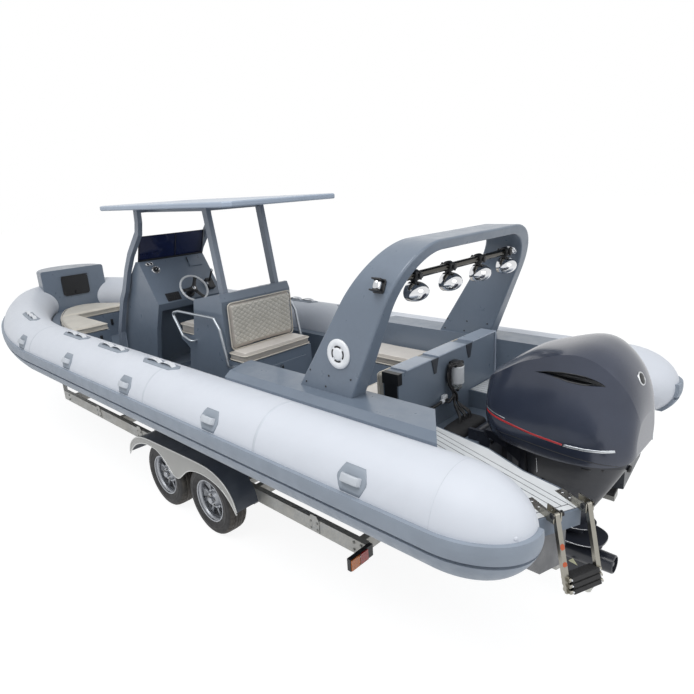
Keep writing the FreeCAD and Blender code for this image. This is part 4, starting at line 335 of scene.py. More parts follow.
def tyre_rubber():
    """Black sides and a dusty tread."""
    look = Shader("tyre_black", linear(26, 26, 28), 0.62)
    look.tint(look.ramp(look.noise(7, 5), 0.45, 0.75, 0, 0.35), linear(58, 55, 53))
    middle_of_tread = look.math("SUBTRACT", look.math("ABSOLUTE", look.axis("Y")), 1.025)
    tread = look.ramp(look.math("ABSOLUTE", middle_of_tread), 0.080, 0.090, 1, 0)
    dust = look.ramp(look.noise(14, 6), 0.3, 0.7, 0.25, 0.8)
    look.tint(look.math("MULTIPLY", tread, dust), linear(84, 78, 71))
    look.grain(160, 0.4, 0.001)
    return look.uneven_gloss(20, 0.08).done()


def tinted_screen():
    look = Shader("tinted_screen", linear(30, 38, 70), 0.06, clear=0.45, ior=1.49)
    look.mottle(3, 0.15)
    return look.grain(20, 0.03, 0.0004).done()


def dial_face():
    look = Shader("dial_face", linear(20, 21, 24), 0.12, coat=0.6)
    return look.mottle(60, 0.2).done()


def inside_box(look, axes, low, high, margins, soft=0.004):
    """1 inside a box drawn in by margins (low, high) on each named axis, 0 outside it."""
    share = None
    for name, (near, far) in zip(axes, margins):
        value = look.axis(name)
        start, stop = getattr(low, name.lower()) + near, getattr(high, name.lower()) - far
        for level, left, right in ((start, 0, 1), (stop, 1, 0)):
            step = look.ramp(value, level - soft, level + soft, left, right)
            share = step if share is None else look.math("MULTIPLY", share, step)
    return share


QUILT_PITCH = 0.072
QUILT_STEEP = 1.5
QUILT_MARGINS = ((0.038, 0.038), (0.055, 0.030))


def quilted(low, high):
    """Beige vinyl sewn in diamonds inside a plain border, under clear crinkled film, with painted shade along
    the sewn creases.
    """
    look = Shader("quilted_vinyl", linear(204, 199, 189), 0.46, coat=0.30, coat_rough=0.22)
    across, height = look.axis("Y"), look.axis("Z")
    ridges = []
    for kind in ("ADD", "SUBTRACT"):
        slant = look.math(kind, across, look.math("MULTIPLY", height, QUILT_STEEP))
        turns = look.math("MULTIPLY", slant, math.pi / QUILT_PITCH)
        ridges.append(look.math("ABSOLUTE", look.math("SINE", turns)))
    puffs = look.math("MINIMUM", *ridges)
    inside = inside_box(look, "YZ", low, high, QUILT_MARGINS)
    look.tint(look.ramp(look.noise(9, 5), 0.4, 0.7, 0, 0.6), linear(184, 179, 168))
    # Painted shade: the sewn creases between the diamonds are darkened.
    seam = look.math("MULTIPLY", look.ramp(puffs, 0.02, 0.22, 1, 0), inside)
    look.tint(look.math("MULTIPLY", seam, 0.8), linear(146, 142, 132))
    look.tint(look.math("SUBTRACT", 1.0, inside), linear(172, 164, 156))
    look.bump(look.math("MULTIPLY", look.math("POWER", puffs, 0.5), inside), 1.0, 0.003)
    look.bump(look.noise(16, 6, (1, 1.6, 0.7)), 0.5, 0.006)
    return look.done()


def two_tone(name, low, high):
    """Pale top inside a darker sewn band."""
    look = Shader(name, linear(222, 215, 207), 0.46, coat=0.12, sheen=0.2)
    look.mottle(7, 0.07)
    band = 0.042
    inside = inside_box(look, "XY", low, high, ((band, band), (band, band)), 0.002)
    top = look.ramp(look.axis("Z"), high.z - 0.024, high.z - 0.020, 0, 1)
    inside = look.math("MULTIPLY", inside, top)
    look.tint(look.math("SUBTRACT", 1.0, inside), linear(176, 169, 161))
    look.bump(inside, 0.6, 0.003)
    look.grain(40, 0.2, 0.0015)
    return look.uneven_gloss(14, 0.07).done()


def lamp_glass():
    look = Shader("lamp_glass", linear(225, 230, 236), 0.05, clear=0.6)
    look.mottle(20, 0.05)
    return look.bump(look.bands(30), 0.4, 0.001).done()


def clear_bowl():
    return Shader("clear_bowl", linear(206, 208, 204), 0.12, clear=0.7, ior=1.45).mottle(25, 0.12).done()


def mudguard_skin():
    """Dark scuffed top with a pale outer face."""
    look = Shader("mudguard", linear(74, 80, 90), 0.38, coat=0.1)
    look.tint(look.ramp(look.noise(5, 6), 0.45, 0.75, 0, 0.6), linear(100, 104, 110))
    outer = look.math("ABSOLUTE", look.axis("Y"))
    look.tint(look.ramp(outer, 1.1365, 1.1370, 0, 1), linear(176, 174, 169))
    look.grain(120, 0.2, 0.0008)
    return look.uneven_gloss(9, 0.1).done()


def tail_lens():
    """Ribbed lens, amber on its outboard half and red on the other."""
    look = Shader("red_lens", linear(165, 24, 22), 0.16, coat=0.4)
    look.tint(look.ramp(look.math("ABSOLUTE", look.axis("Y")), 0.9995, 1.0005, 0, 1), linear(205, 110, 30))
    return look.bump(look.bands(60), 0.5, 0.0015).done()


def webbing():
    """White woven strap, its threads at right angles."""
    look = Shader("webbing_white", linear(236, 237, 240), 0.7, sheen=0.3)
    look.mottle(60, 0.06)
    return look.weave(0.003, 0.8, 0.0008).done()


LOOKS = {
    "tube_fabric": tube_fabric(),
    "strake": rubber("strake_rubber", linear(146, 155, 167), 0.50),
    "handle": rubber("handle_rubber", linear(150, 158, 168), 0.55),
    # Painted shade: the hull's gelcoat is taken to be the deck's grey, and its dark tone here is the look of
    # that grey in deep shade.
    "hull": gelcoat("hull_gelcoat", linear(50, 54, 61), 0.15, 0.0),
    "slate": gelcoat("deck_gelcoat", linear(112, 123, 137)),
    "foam": rubber("platform_foam", linear(226, 228, 229), 0.65),
    "black": plastic("black_plastic", linear(28, 29, 32)),
    "pale": plastic("pale_plastic", linear(216, 218, 220), 0.35, 0.2),
    "vinyl": vinyl(),
    "screen": tinted_screen(),
    "steel": polished("stainless", linear(205, 207, 210), 0.18),
    "top": gelcoat("top_gelcoat", linear(160, 172, 188), 0.08),
    "top_frame": gelcoat("top_frame_paint", linear(122, 131, 144), 0.08),
    "chrome": polished("chrome_lamps", linear(225, 226, 228), 0.05),
    "hose": rubber("hose_rubber", linear(30, 30, 32), 0.5),
    "motor": plastic("motor_paint", linear(38, 41, 50), 0.38, 0.15),
    "leg": leg_paint(),
    "cowl": cowl_paint(),
    "zinc": galvanised(),
    "pad": rubber("pad_rubber", linear(34, 34, 36), 0.7),
    "mudguard": mudguard_skin(),
    "red": tail_lens(),
    "tyre": tyre_rubber(),
    "wheel": polished("wheel_silver", linear(168, 171, 176), 0.42),
    "webbing": webbing(),
    "grip_bar": rubber("grip_bar_rubber", linear(198, 202, 208), 0.45),
    "seam_tape": rubber("seam_tape", linear(208, 212, 219), 0.45),
    "joint_line": rubber("joint_line_rubber", linear(92, 94, 98), 0.7),
    "orange": plastic("orange_mark", linear(196, 92, 52), 0.5),
    "anode": plastic("anode_pale", linear(214, 212, 176), 0.6),
    "white": plastic("white_plastic", linear(238, 239, 241), 0.32, 0.3),
    "cap": gelcoat("cap_gelcoat", linear(158, 168, 182), 0.06),
    "tread": rubber("tread_rubber", linear(22, 22, 24), 0.6),
    "lamp_glass": lamp_glass(),
    "bar": polished("dark_bar", linear(84, 82, 78), 0.22),
    "ladder": polished("ladder_stainless", linear(158, 155, 146), 0.30),
    "rail": polished("rail_metal", linear(178, 184, 190), 0.38),
    "dial": dial_face(),
    "edge": polished("rolled_edge", linear(196, 197, 196), 0.30),
    "bolt": polished("plated_bolt", linear(140, 140, 138), 0.35),
    "bowl": clear_bowl(),
    "stripe_red": plastic("stripe_red", linear(186, 34, 40), 0.22, 0.6),
    "stripe_silver": polished("stripe_silver", linear(206, 210, 214), 0.25),
}
NODE_LOOKS = {
    "tube_collar": "tube_fabric", "rub_strakes": "strake", "tube_handles": "handle", "hull": "hull",
    "cockpit_liner": "slate", "side_decks": "slate", "aft_seat": "slate", "swim_platforms": "slate",
    "bow_locker": "slate", "bow_hatch": "black", "bow_seats": "slate", "bow_cushions": "vinyl",
    "aft_cushions": "vinyl", "console": "slate", "windscreen": "screen", "dash_fittings": "black",
    "steering_wheel": "pale", "helm_seat": "slate", "helm_cushions": "vinyl", "bench_cushions": "vinyl",
    "seat_hatch": "slate", "grab_rails": "rail", "ttop_roof": "top", "ttop_frame": "top_frame",
    "arch": "slate", "lamp_bar": "bar", "work_lamps": "chrome", "fuel_filter": "black", "fuel_hoses": "hose",
    "motor_clamp": "motor", "motor_swivel": "motor", "motor_leg": "leg", "motor_cowl": "cowl",
    "ladder_bracket": "ladder", "ladder_top": "ladder", "ladder_middle": "ladder", "ladder_low": "ladder",
    "trailer_frame": "zinc", "bunk_pads": "pad", "axles": "zinc", "mudguards": "mudguard",
    "tail_lamp_housings": "black", "tail_lamp_lenses": "red", "winch_post": "zinc", "bow_stop": "pad",
    "winch": "zinc", "coupling": "zinc", "jockey_post": "zinc", "jockey_fork": "zinc", "jockey_wheel": "pad",
}
for end_name in ("rear", "front"):
    for side_name in ("port", "starboard"):
        NODE_LOOKS["tyre_%s_%s" % (end_name, side_name)] = "tyre"
        NODE_LOOKS["rim_%s_%s" % (end_name, side_name)] = "wheel"
for node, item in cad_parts.items():
    item.data.materials.clear()
    item.data.materials.append(LOOKS[NODE_LOOKS[node]])


# Making pieces


def heading(angle, first=0, second=1):
    """Unit vector at an angle from one axis towards another."""
    way = Vector()
    way[first], way[second] = math.cos(angle), math.sin(angle)
    return way


def mirrored(point, side):
    return Vector((point.x, point.y * side, point.z))


def arc_points(centre, across, along, radius, start, stop, count):
    """Points of an arc in the plane of two directions."""
    angles = [start + (stop - start) * index / count for index in range(count + 1)]
    return [centre + (across * math.cos(angle) + along * math.sin(angle)) * radius for angle in angles]


def circle(centre, across, along, radius, count):
    return arc_points(centre, across, along, radius, 0, 2 * math.pi, count)[:-1]


def line_points(first, last, count):
    return [first.lerp(last, index / count) for index in range(count + 1)]


def smooth_line(points, count=8):
    """Points of a curve that runs smoothly through the given ones."""
    points = [Vector(point) for point in points]
    line = []
    for index in range(len(points) - 1):
        before = points[max(index - 1, 0)]
        start, stop = points[index], points[index + 1]
        after = points[min(index + 2, len(points) - 1)]
        for step in range(count):
            share = step / count
            line.append(0.5 * (2 * start + (stop - before) * share
                               + (2 * before - 5 * start + 4 * stop - after) * share ** 2
                               + (3 * start - before - 3 * stop + after) * share ** 3))
    return line + [points[-1]]


class Build:
    """Collects simple solids into one mesh."""

    def __init__(self):
        self.form = bmesh.new()

    def rings(self, rings, closed=False, shift=0):
        """Skin over rings of as many points each, capped, or closed to a loop with a shift at the join."""
        made = [[self.form.verts.new(point) for point in ring] for ring in rings]
        pairs = [(first, second, 0) for first, second in zip(made, made[1:])]
        if closed:
            pairs.append((made[-1], made[0], shift))
        else:
            self.form.faces.new(made[0][::-1])
            self.form.faces.new(made[-1])
        count = len(made[0])
        for first, second, turn in pairs:
            for step in range(count):
                after = (step + 1) % count
                self.form.faces.new((first[step], first[after], second[(after + turn) % count],
                                     second[(step + turn) % count]))

    def block(self, low, high, bevel):
        """Box between two corners, rounded by the bevel."""
        low, high = Vector(low), Vector(high)
        box = bmesh.new()
        bmesh.ops.create_cube(box, size=1, matrix=Matrix.Diagonal((*(high - low), 1)))
        bmesh.ops.bevel(box, geom=list(box.edges), offset=bevel, segments=2, profile=0.5, affect="EDGES",
                        clamp_overlap=True)
        bmesh.ops.translate(box, vec=(low + high) / 2, verts=box.verts)
        mesh = bpy.data.meshes.new("box")
        box.to_mesh(mesh)
        box.free()
        self.form.from_mesh(mesh)
        bpy.data.meshes.remove(mesh)

    def lathe(self, profile, base, axis, count=24, hollow=False):
        """Turn a line of (distance along the axis, radius) about an axis, closed to a ring when hollow."""
        axis = Vector(axis).normalized()
        side = axis.orthogonal().normalized()
        other = axis.cross(side)
        self.rings([circle(base + axis * along, side, other, wide, count) for along, wide in profile], hollow)

    def pipe(self, points, radius, count=10, closed=False):
        """Round tube along points."""
        rings, normal, total = [], None, len(points)
        for index, point in enumerate(points):
            before = points[(index - 1) % total] if closed or index else point
            after = points[(index + 1) % total] if closed or index < total - 1 else point
            way = (after - before).normalized()
            if normal is None:
                normal = way.orthogonal().normalized()
            normal = (normal - way * normal.dot(way)).normalized()
            rings.append(circle(point, normal, way.cross(normal), radius, count))
        shift = min(range(count), key=lambda turn: (rings[-1][0] - rings[0][turn]).length) if closed else 0
        self.rings(rings, closed, shift)

    def prism(self, outline, base, across, along, thick):
        """Flat plate: outline points in two directions, extruded along their normal."""
        across, along = Vector(across).normalized(), Vector(along).normalized()
        lower = [Vector(base) + across * u + along * v for u, v in outline]
        step = across.cross(along) * thick
        self.rings([lower, [point + step for point in lower]])

    def move(self, local):
        """Move all that was made into a local frame."""
        bmesh.ops.transform(self.form, matrix=local, verts=self.form.verts)

    def mesh(self):
        bmesh.ops.recalc_face_normals(self.form, faces=self.form.faces)
        mesh = bpy.data.meshes.new("shape")
        self.form.to_mesh(mesh)
        self.form.free()
        return mesh


def piece(name, mesh, look, body=BOAT, smooth=True):
    item = bpy.data.objects.new(name, mesh)
    bpy.context.scene.collection.objects.link(item)
    mesh.materials.clear()
    mesh.materials.append(LOOKS[look])
    for face in mesh.polygons:
        face.use_smooth = smooth
    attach(item, body)
    return item


def add(name, build, look, body=BOAT, smooth=True, bevel=0.0, segments=2):
    """Finish a build as a piece with a look and rounded edges."""
    item = piece(name, build.mesh(), look, body, smooth)
    if bevel:
        edges = item.modifiers.new("rounded", "BEVEL")
        edges.width = bevel
        edges.segments = segments
        edges.limit_method = "ANGLE"
        edges.angle_limit = math.radians(35)
    return item


# Cushions: each foam block of the frame becomes a swollen, piped pad

PAD_CORNER = 0.014
PAD_PRESSURE = 4.0
PAD_CAP = 0.018
PIPING_RADIUS = 0.006


def islands(node):
    """The separate solids of a node as lists of corner points and faces."""
    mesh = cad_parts[node].data
    owner = list(range(len(mesh.vertices)))
    spots = {}
    for vert in mesh.vertices:
        key = tuple(round(value, 5) for value in vert.co)
        owner[vert.index] = spots.setdefault(key, vert.index)

    def root(index):
        while owner[index] != index:
            owner[index] = owner[owner[index]]
            index = owner[index]
        return index

    for face in mesh.polygons:
        first = root(face.vertices[0])
        for index in face.vertices[1:]:
            owner[root(index)] = first
    groups = {}
    for face in mesh.polygons:
        groups.setdefault(root(face.vertices[0]), []).append(face)
    solids = []
    for faces in groups.values():
        spots, points, loops = {}, [], []
        for face in faces:
            loop = []
            for index in face.vertices:
                key = tuple(round(value, 5) for value in mesh.vertices[index].co)
                if key not in spots:
                    spots[key] = len(points)
                    points.append(Vector(key))
                loop.append(spots[key])
            loops.append(loop)
        solids.append((points, loops))
    return sorted(solids,
                  key=lambda solid: tuple(round(v, 3) for v in sum(solid[0], Vector()) / len(solid[0])))


def only(item):
    bpy.ops.object.select_all(action="DESELECT")
    item.select_set(True)
    bpy.context.view_layer.objects.active = item


def swell(item, voxel, pressure, cap, flat):
    """Remesh a block, blow it up as cloth under pressure and keep each point within the cap.

    The sewn edge holds the pad's outline, so little of the sideways motion is kept."""
    only(item)
    item.data.remesh_voxel_size = voxel
    bpy.ops.object.voxel_remesh()
    start = [vert.co.copy() for vert in item.data.vertices]
    cloth = item.modifiers.new("foam", "CLOTH")
    cloth.settings.quality = 4
    cloth.settings.mass = 0.3
    cloth.settings.tension_stiffness = 12
    cloth.settings.compression_stiffness = 12
    cloth.settings.bending_stiffness = 0.6
    cloth.settings.use_pressure = True
    cloth.settings.uniform_pressure_force = pressure
    cloth.settings.effector_weights.gravity = 0
    cloth.collision_settings.use_collision = False
    cloth.point_cache.frame_start = 1
    cloth.point_cache.frame_end = 20
    scene = bpy.context.scene
    for number in range(1, 21):
        scene.frame_set(number)
    shaped = item.evaluated_get(bpy.context.evaluated_depsgraph_get())
    moved = [vert.co.copy() for vert in shaped.data.vertices]
    item.modifiers.remove(cloth)
    scene.frame_set(1)
    for vert, before, after in zip(item.data.vertices, start, moved):
        step = after - before
        for axis in range(3):
            if axis != flat:
                step[axis] *= 0.15
        if step.length > cap:
            step *= cap / step.length
        vert.co = before + step


def box_of(points):
    """Lowest and highest corner of the box round points."""
    return [Vector([pick(point[axis] for point in points) for axis in range(3)]) for pick in (min, max)]


def shrunk(points, amounts):
    """Draw points in towards the middle of their box by an amount on each axis."""
    low, high = box_of(points)
    centre, half = (low + high) / 2, (high - low) / 2
    return [Vector([centre[axis] + (point[axis] - centre[axis]) * (1 - amounts[axis] / half[axis])
                    for axis in range(3)]) for point in points]


def round_edges(form, edges, offset, segments):
    bmesh.ops.bevel(form, geom=edges, offset=offset, segments=segments, profile=0.5, affect="EDGES",
                    clamp_overlap=True)


def cushion(name, node, solid, voxel, draw_in, plan_corner, flat, look):
    """Rounded foam block that swells."""
    points, faces = solid
    mesh = bpy.data.meshes.new("shape")
    mesh.from_pydata(shrunk(points, draw_in), [], faces)
    form = bmesh.new()
    form.from_mesh(mesh)
    bmesh.ops.dissolve_limit(form, angle_limit=math.radians(2), verts=form.verts, edges=form.edges)
    posts = [edge for edge in form.edges
             if abs((edge.verts[0].co - edge.verts[1].co).normalized()[flat]) > 0.99]
    round_edges(form, posts, plan_corner, 6)
    sharp = [edge for edge in form.edges if len(edge.link_faces) == 2 and edge.calc_face_angle(0) > 0.6]
    round_edges(form, sharp, PAD_CORNER, 4)
    form.to_mesh(mesh)
    form.free()
    item = piece(name, mesh, look)
    swell(item, voxel, PAD_PRESSURE, PAD_CAP, flat)
    smoother = item.modifiers.new("soft", "SMOOTH")
    smoother.factor = 0.5
    smoother.iterations = 4
    for face in item.data.polygons:
        face.use_smooth = True
    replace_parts(item, node)
    return item


def quilt(item, low, high, height=0.010):
    """Raise the diamonds between the seams on the aft face of a pad."""
    (left, right), (lower, upper) = QUILT_MARGINS
    for vert in item.data.vertices:
        x, y, z = vert.co
        sewn = low.y + left < y < high.y - right and low.z + lower < z < high.z - upper
        if sewn and vert.normal.x <= -0.5:
            slants = [(y + way * QUILT_STEEP * z) * math.pi / QUILT_PITCH for way in (1, -1)]
            vert.co.x = x - height * math.sqrt(min(abs(math.sin(slant)) for slant in slants))


def outline_of(solid, axis, value):
    """Boundary points, in order, of the flat face of a solid at a value on an axis."""
    points, faces = solid
    flat = [face for face in faces if all(abs(points[index][axis] - value) < 0.001 for index in face)]
    edges = {}
    for face in flat:
        for first, second in zip(face, face[1:] + face[:1]):
            if (second, first) in edges:
                del edges[(second, first)]
            else:
                edges[(first, second)] = True
    follow = {first: second for first, second in edges}
    start = next(iter(follow))
    loop = [start]
    while follow[loop[-1]] != start:
        loop.append(follow[loop[-1]])
    return [points[index] for index in loop]


def eased(loop, radius, spacing=0.02):
    """Outline with rounded corners, as evenly spaced points."""
    kept = []
    for index, here in enumerate(loop):
        first, second = here - loop[index - 1], loop[(index + 1) % len(loop)] - here
        if first.length < 1e-6 or second.length < 1e-6:
            continue
        if first.angle(second) > math.radians(25):
            reach = min(radius, first.length * 0.45, second.length * 0.45)
            begin = here - first.normalized() * reach
            end = here + second.normalized() * reach
            for step in range(7):
                share = step / 6
                kept.append(begin * (1 - share) ** 2 + here * 2 * share * (1 - share) + end * share ** 2)
        else:
            kept.append(here)
    spaced = []
    for first, second in zip(kept, kept[1:] + kept[:1]):
        count = max(1, int((second - first).length / spacing))
        spaced += line_points(first, second, count)[:-1]
    return spaced


def drawn_in(loop, amount, centre, flat):
    """Outline moved towards its middle by an amount along its own normals."""
    moved = []
    up = Vector()
    up[flat] = 1.0
    for index, point in enumerate(loop):
        way = loop[(index + 1) % len(loop)] - loop[index - 1]
        normal = way.cross(up).normalized()
        if normal.dot(centre - point) < 0:
            normal = -normal
        moved.append(point + normal * amount)
    return moved


def piping(name, solid, axis, levels, corner):
    """Piped seams round a pad at the given levels along an axis."""
    loop = outline_of(solid, axis, max(point[axis] for point in solid[0]))
    ring = drawn_in(eased(loop, corner), PIPING_RADIUS, sum(loop, Vector()) / len(loop), axis)
    build = Build()
    for level in levels:
        points = [point.copy() for point in ring]
        for point in points:
            point[axis] = level
        build.pipe(points, PIPING_RADIUS, 8, closed=True)
    add(name, build, "vinyl")


def seat_pads():
    for node in ("bow_cushions", "aft_cushions", "helm_cushions", "bench_cushions"):
        for number, solid in enumerate(islands(node)):
            low, high = box_of(solid[0])
            size = high - low
            flat = min(range(3), key=lambda axis: size[axis])
            backrest = node == "bench_cushions" and flat == 0
            label = "%s_pad_%d" % (node.split("_")[0], number + 1)
            draw_in = [0.004] * 3
            draw_in[flat] = 0.012
            look, voxel = "vinyl", 0.016 if size[0] * size[1] > 0.6 else 0.012
            if backrest:
                look, voxel = "quilted", 0.010
                LOOKS[look] = quilted(low, high)
            elif flat == 2 and node != "bow_cushions":
                look = label
                LOOKS[look] = two_tone(label + "_vinyl", low, high)
            plan_corner = 0.055 if node in ("bench_cushions", "helm_cushions") else 0.016
            pad = cushion(label, node, solid, voxel, draw_in, plan_corner, flat, look)
            if backrest:
                quilt(pad, low, high)
            levels = (low[flat] + 0.012,)
            if flat == 2:
                levels = (low.z + 0.016, high.z - 0.016)
            elif flat == 0 and not backrest:
                levels = (high[flat] - 0.012,)
            piping(label + "_piping", solid, flat, levels, max(0.03, plan_corner))


seat_pads()


# Laying trim on the surfaces of the frame


class Surface:
    """Finds points on the outside of a node of the frame."""

    def __init__(self, name):
        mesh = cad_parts[name].data
        points = [vert.co.copy() for vert in mesh.vertices]
        self.tree = BVHTree.FromPolygons(points, [list(face.vertices) for face in mesh.polygons])

    def hit(self, origin, way):
        """The first point along a direction, with the surface's normal there."""
        way = Vector(way).normalized()
        spot, normal, _, _ = self.tree.ray_cast(Vector(origin), way)
        if spot is None:
            return None
        return spot, normal if normal.dot(way) < 0 else -normal

    def hits(self, origins, way):
        found = [self.hit(origin, way) for origin in origins]
        return [item for item in found if item]


def ribbon(build, hits, width, proud=0.0012, closed=False):
    """Strip that follows points of a surface and stands a little proud of it."""
    rings = []
    total = len(hits)
    for index, (spot, normal) in enumerate(hits):
        before = hits[index - 1][0] if index or closed else spot
        after = hits[(index + 1) % total][0] if index < total - 1 or closed else spot
        across = normal.cross(after - before).normalized() * width / 2
        low, high = spot - normal * 0.001, spot + normal * proud
        rings.append([low - across, low + across, high + across * 0.8, high - across * 0.8])
    build.rings(rings, closed)


def dome(build, hit, radius, height, count=14):
    """Round head on a surface."""
    spot, normal = hit
    profile = [(-0.001, radius), (height * 0.4, radius), (height * 0.85, radius * 0.7),
               (height, radius * 0.2)]
    build.lathe(profile, spot, normal, count)


def heads(build, skin, origins, way, radius, height, count=14):
    """Round heads where rays meet a surface."""
    for hit in skin.hits(origins, way):
        dome(build, hit, radius, height, count)


# Buoyancy collar: pads and webbing loops, moulded grips, seams


def tube_frame(distance):
    """Matrix of a point of the port tube's centre line: X along the tube, Y outboard, Z up."""
    if distance <= TUBE_BEND:
        return Matrix.Translation(place(distance, TUBE_SIDE, TUBE_LEVEL))
    angle = (distance - TUBE_BEND) / LONG_RADIUS
    centre = place(TUBE_BEND, TUBE_SIDE - LONG_RADIUS, TUBE_LEVEL)
    spot = centre + Vector((math.sin(angle), math.cos(angle), 0)) * LONG_RADIUS
    pivot = Matrix.Translation(place(SHEER_PIVOT, 0, TUBE_LEVEL))
    lift = pivot @ Matrix.Rotation(-SHEER, 4, "Y") @ pivot.inverted()
    return lift @ Matrix.Translation(spot) @ Matrix.Rotation(-angle, 4, "Z")


def tube_point(distance, angle, out, side=1):
    """Point out from the tube's skin, at an angle above the outboard horizontal."""
    return mirrored(tube_frame(distance) @ (heading(angle, 1, 2) * (TUBE_RADIUS + out)), side)


def tube_sheet(build, distance, length, edges, side, rows=13, thick=0.005):
    """Pad on the tube's skin. For a distance along the pad, edges gives its two angles."""
    rings = []
    for index in range(rows):
        along = -length / 2 + length * index / (rows - 1)
        low, high = edges(along)
        lower, upper = [], []
        for step in range(9):
            angle = low + (high - low) * step / 8
            rim = step in (0, 8) or index in (0, rows - 1)
            lower.append(tube_point(distance + along, angle, 0.0003, side))
            upper.append(tube_point(distance + along, angle, thick * (0.45 if rim else 1.0), side))
        rings.append(lower + upper[::-1])
    build.rings(rings)


def webbing_arch(build, distance, reach, side):
    """One loop of webbing that stands up from its pad."""
    rings = []
    for index in range(15):
        share = index / 14 * 2 - 1
        rise = 0.0035 + 0.024 * (1 - abs(share) ** 3.2)
        rings.append([tube_point(distance + share * reach, math.pi / 2 + across / (TUBE_RADIUS + 0.02),
                                 rise + lift, side)
                      for across, lift in ((-0.021, 0), (0.021, 0), (0.021, 0.003), (-0.021, 0.003))])
    build.rings(rings)


def handle_block(build, distance, side):
    """Moulded grip across the outer side of the tube, open behind its bar."""
    here = tube_frame(distance) @ Matrix.Rotation(math.radians(26), 4, "X")
    section = [(-0.072, 0.004), (-0.060, 0.032), (-0.046, 0.039), (0.046, 0.039), (0.060, 0.032),
               (0.072, 0.004),
               (0.050, 0.004), (0.044, 0.022), (-0.044, 0.022), (-0.050, 0.004)]
    build.rings([[mirrored(here @ Vector((along, TUBE_RADIUS + out * share, across)), side)
                  for along, out in section]
                 for across, share in ((-0.024, 0.86), (-0.019, 1.0), (0.019, 1.0), (0.024, 0.86))])


def pointed(half, low, high, tip):
    """Edges of a long pad with cut corners."""
    def edges(along):
        share = min(1.0, (half - abs(along)) / tip + 0.12)
        centre = (low + high) / 2
        reach = (high - low) / 2 * share
        return math.radians(centre - reach), math.radians(centre + reach)
    return edges


def tube_grips():
    pads, loops, holds = Build(), Build(), Build()
    length = 0.560
    for side in SIDES:
        for distance, count in ((0.270, 2), (1.170, 2), (2.020, 2), (3.500, 3)):
            tube_sheet(pads, distance, length, pointed(length / 2, 78, 102, 0.075), side, 17)
            pitch = (length - 0.120) / count
            for index in range(count):
                webbing_arch(loops, distance + (index - (count - 1) / 2) * pitch, pitch * 0.44, side)
        for distance in (-2.140, -0.790, 0.475, 1.700, 2.990):
            tube_sheet(pads, distance, 0.210, pointed(0.105, 10, 42, 0.035), side)
            handle_block(holds, distance, side)
    for item in (add("grip_pads", pads, "handle"),
                 add("webbing_loops", loops, "webbing", smooth=False),
                 add("grip_bars", holds, "grip_bar", bevel=0.004)):
        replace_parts(item, "tube_handles")


def tube_seams():
    """Glued seam round the root of each end cone, the bands round the tube and the patches near its tip."""
    skin = Surface("tube_collar")
    build, marks = Build(), Build()
    cast_from = 0.6
    for side in SIDES:
        hits = []
        for index in range(49):
            way = -mirrored(heading(math.radians(-70 + 320 * index / 48), 1, 2), side)
            hits += skin.hits([place(TUBE_SEAM, TUBE_SIDE * side, TUBE_LEVEL) - way * cast_from], way)
        ribbon(build, hits, 0.004, 0.0008)
        for angle in (28, 12, -3):
            way = Vector((0.42, 0, 0)) - mirrored(heading(math.radians(angle), 1, 2), side)
            start = place(-2.965, TUBE_SIDE * side, TUBE_LEVEL) - way.normalized() * cast_from
            heads(marks, skin, [start], way, 0.011, 0.003)
        for distance in (-1.300, 0.150, 2.750):
            hits = []
            for degrees in range(-10, 191, 5):
                angle = math.radians(degrees)
                hits += skin.hits([tube_point(distance, angle, 0.2)], -heading(angle, 1, 2))
            ribbon(build, [(mirrored(spot, side), mirrored(normal, side)) for spot, normal in hits], 0.030,
                   0.0006)
    add("tube_seams", build, "seam_tape")
    add("tube_end_patches", marks, "tube_fabric")


tube_grips()
tube_seams()


# Swim platforms: foam planks with dark joints

PLATFORM = [(-1.758, 0.360), (-2.358, 0.410), (-2.648, 0.510), (-2.886, 0.541), (-3.040, 0.652),
            (-2.925, 0.896), (-2.850, 0.925), (-2.455, 0.925), (-2.455, 0.765), (-1.758, 0.765)]
INBOARD_CORNER = Vector((-1.768, 0.366))
STERN_CORNER = Vector((-3.040, 0.658))
OUTBOARD_CORNER = Vector((-2.925, 0.896))
INBOARD_BORDER = 0.014
STERN_BORDER = 0.045
PLANK_PITCH = 0.044
PLANK_GAP = 0.0032


def plan_normal(first, last, grows):
    """Normal of a line in plan, to the side on which an axis grows."""
    way = (last - first).normalized()
    normal = Vector((-way.y, way.x))
    return normal if normal[grows] > 0 else -normal


def beyond(faces, start, normal, distance):
    """The faces that lie more than a distance from a line in plan."""
    return [face for face in faces if (face.calc_center_median().to_2d() - start).dot(normal) > distance]


def split(form, faces, point, normal):
    """Cut faces along a vertical plane."""
    geom = set(faces)
    for face in faces:
        geom.update(face.edges)
        geom.update(face.verts)
    bmesh.ops.bisect_plane(form, geom=list(geom), plane_co=point.to_3d(), plane_no=normal.to_3d())


def cut_planks(form):
    """Cut the platform's plan into a border and planks, with a gap round each."""
    out = plan_normal(INBOARD_CORNER, STERN_CORNER, 1)
    ahead = plan_normal(STERN_CORNER, OUTBOARD_CORNER, 0)
    split(form, list(form.faces), INBOARD_CORNER + out * INBOARD_BORDER, out)
    field = beyond(form.faces, INBOARD_CORNER, out, INBOARD_BORDER)
    split(form, field, STERN_CORNER + ahead * STERN_BORDER, ahead)
    for number in range(1, 13):
        planks = beyond(form.faces, STERN_CORNER, ahead, STERN_BORDER)
        planks = beyond(planks, INBOARD_CORNER, out, INBOARD_BORDER)
        split(form, planks, INBOARD_CORNER + out * (INBOARD_BORDER + PLANK_PITCH * number), out)
    bmesh.ops.inset_individual(form, faces=list(form.faces), thickness=PLANK_GAP, use_even_offset=True)
    rims = [face for face in form.faces if len(face.verts) == 4 and face.calc_area() < 0.9 * 2 * PLANK_GAP
            * max(edge.calc_length() for edge in face.edges)]
    bmesh.ops.delete(form, geom=rims, context="FACES")


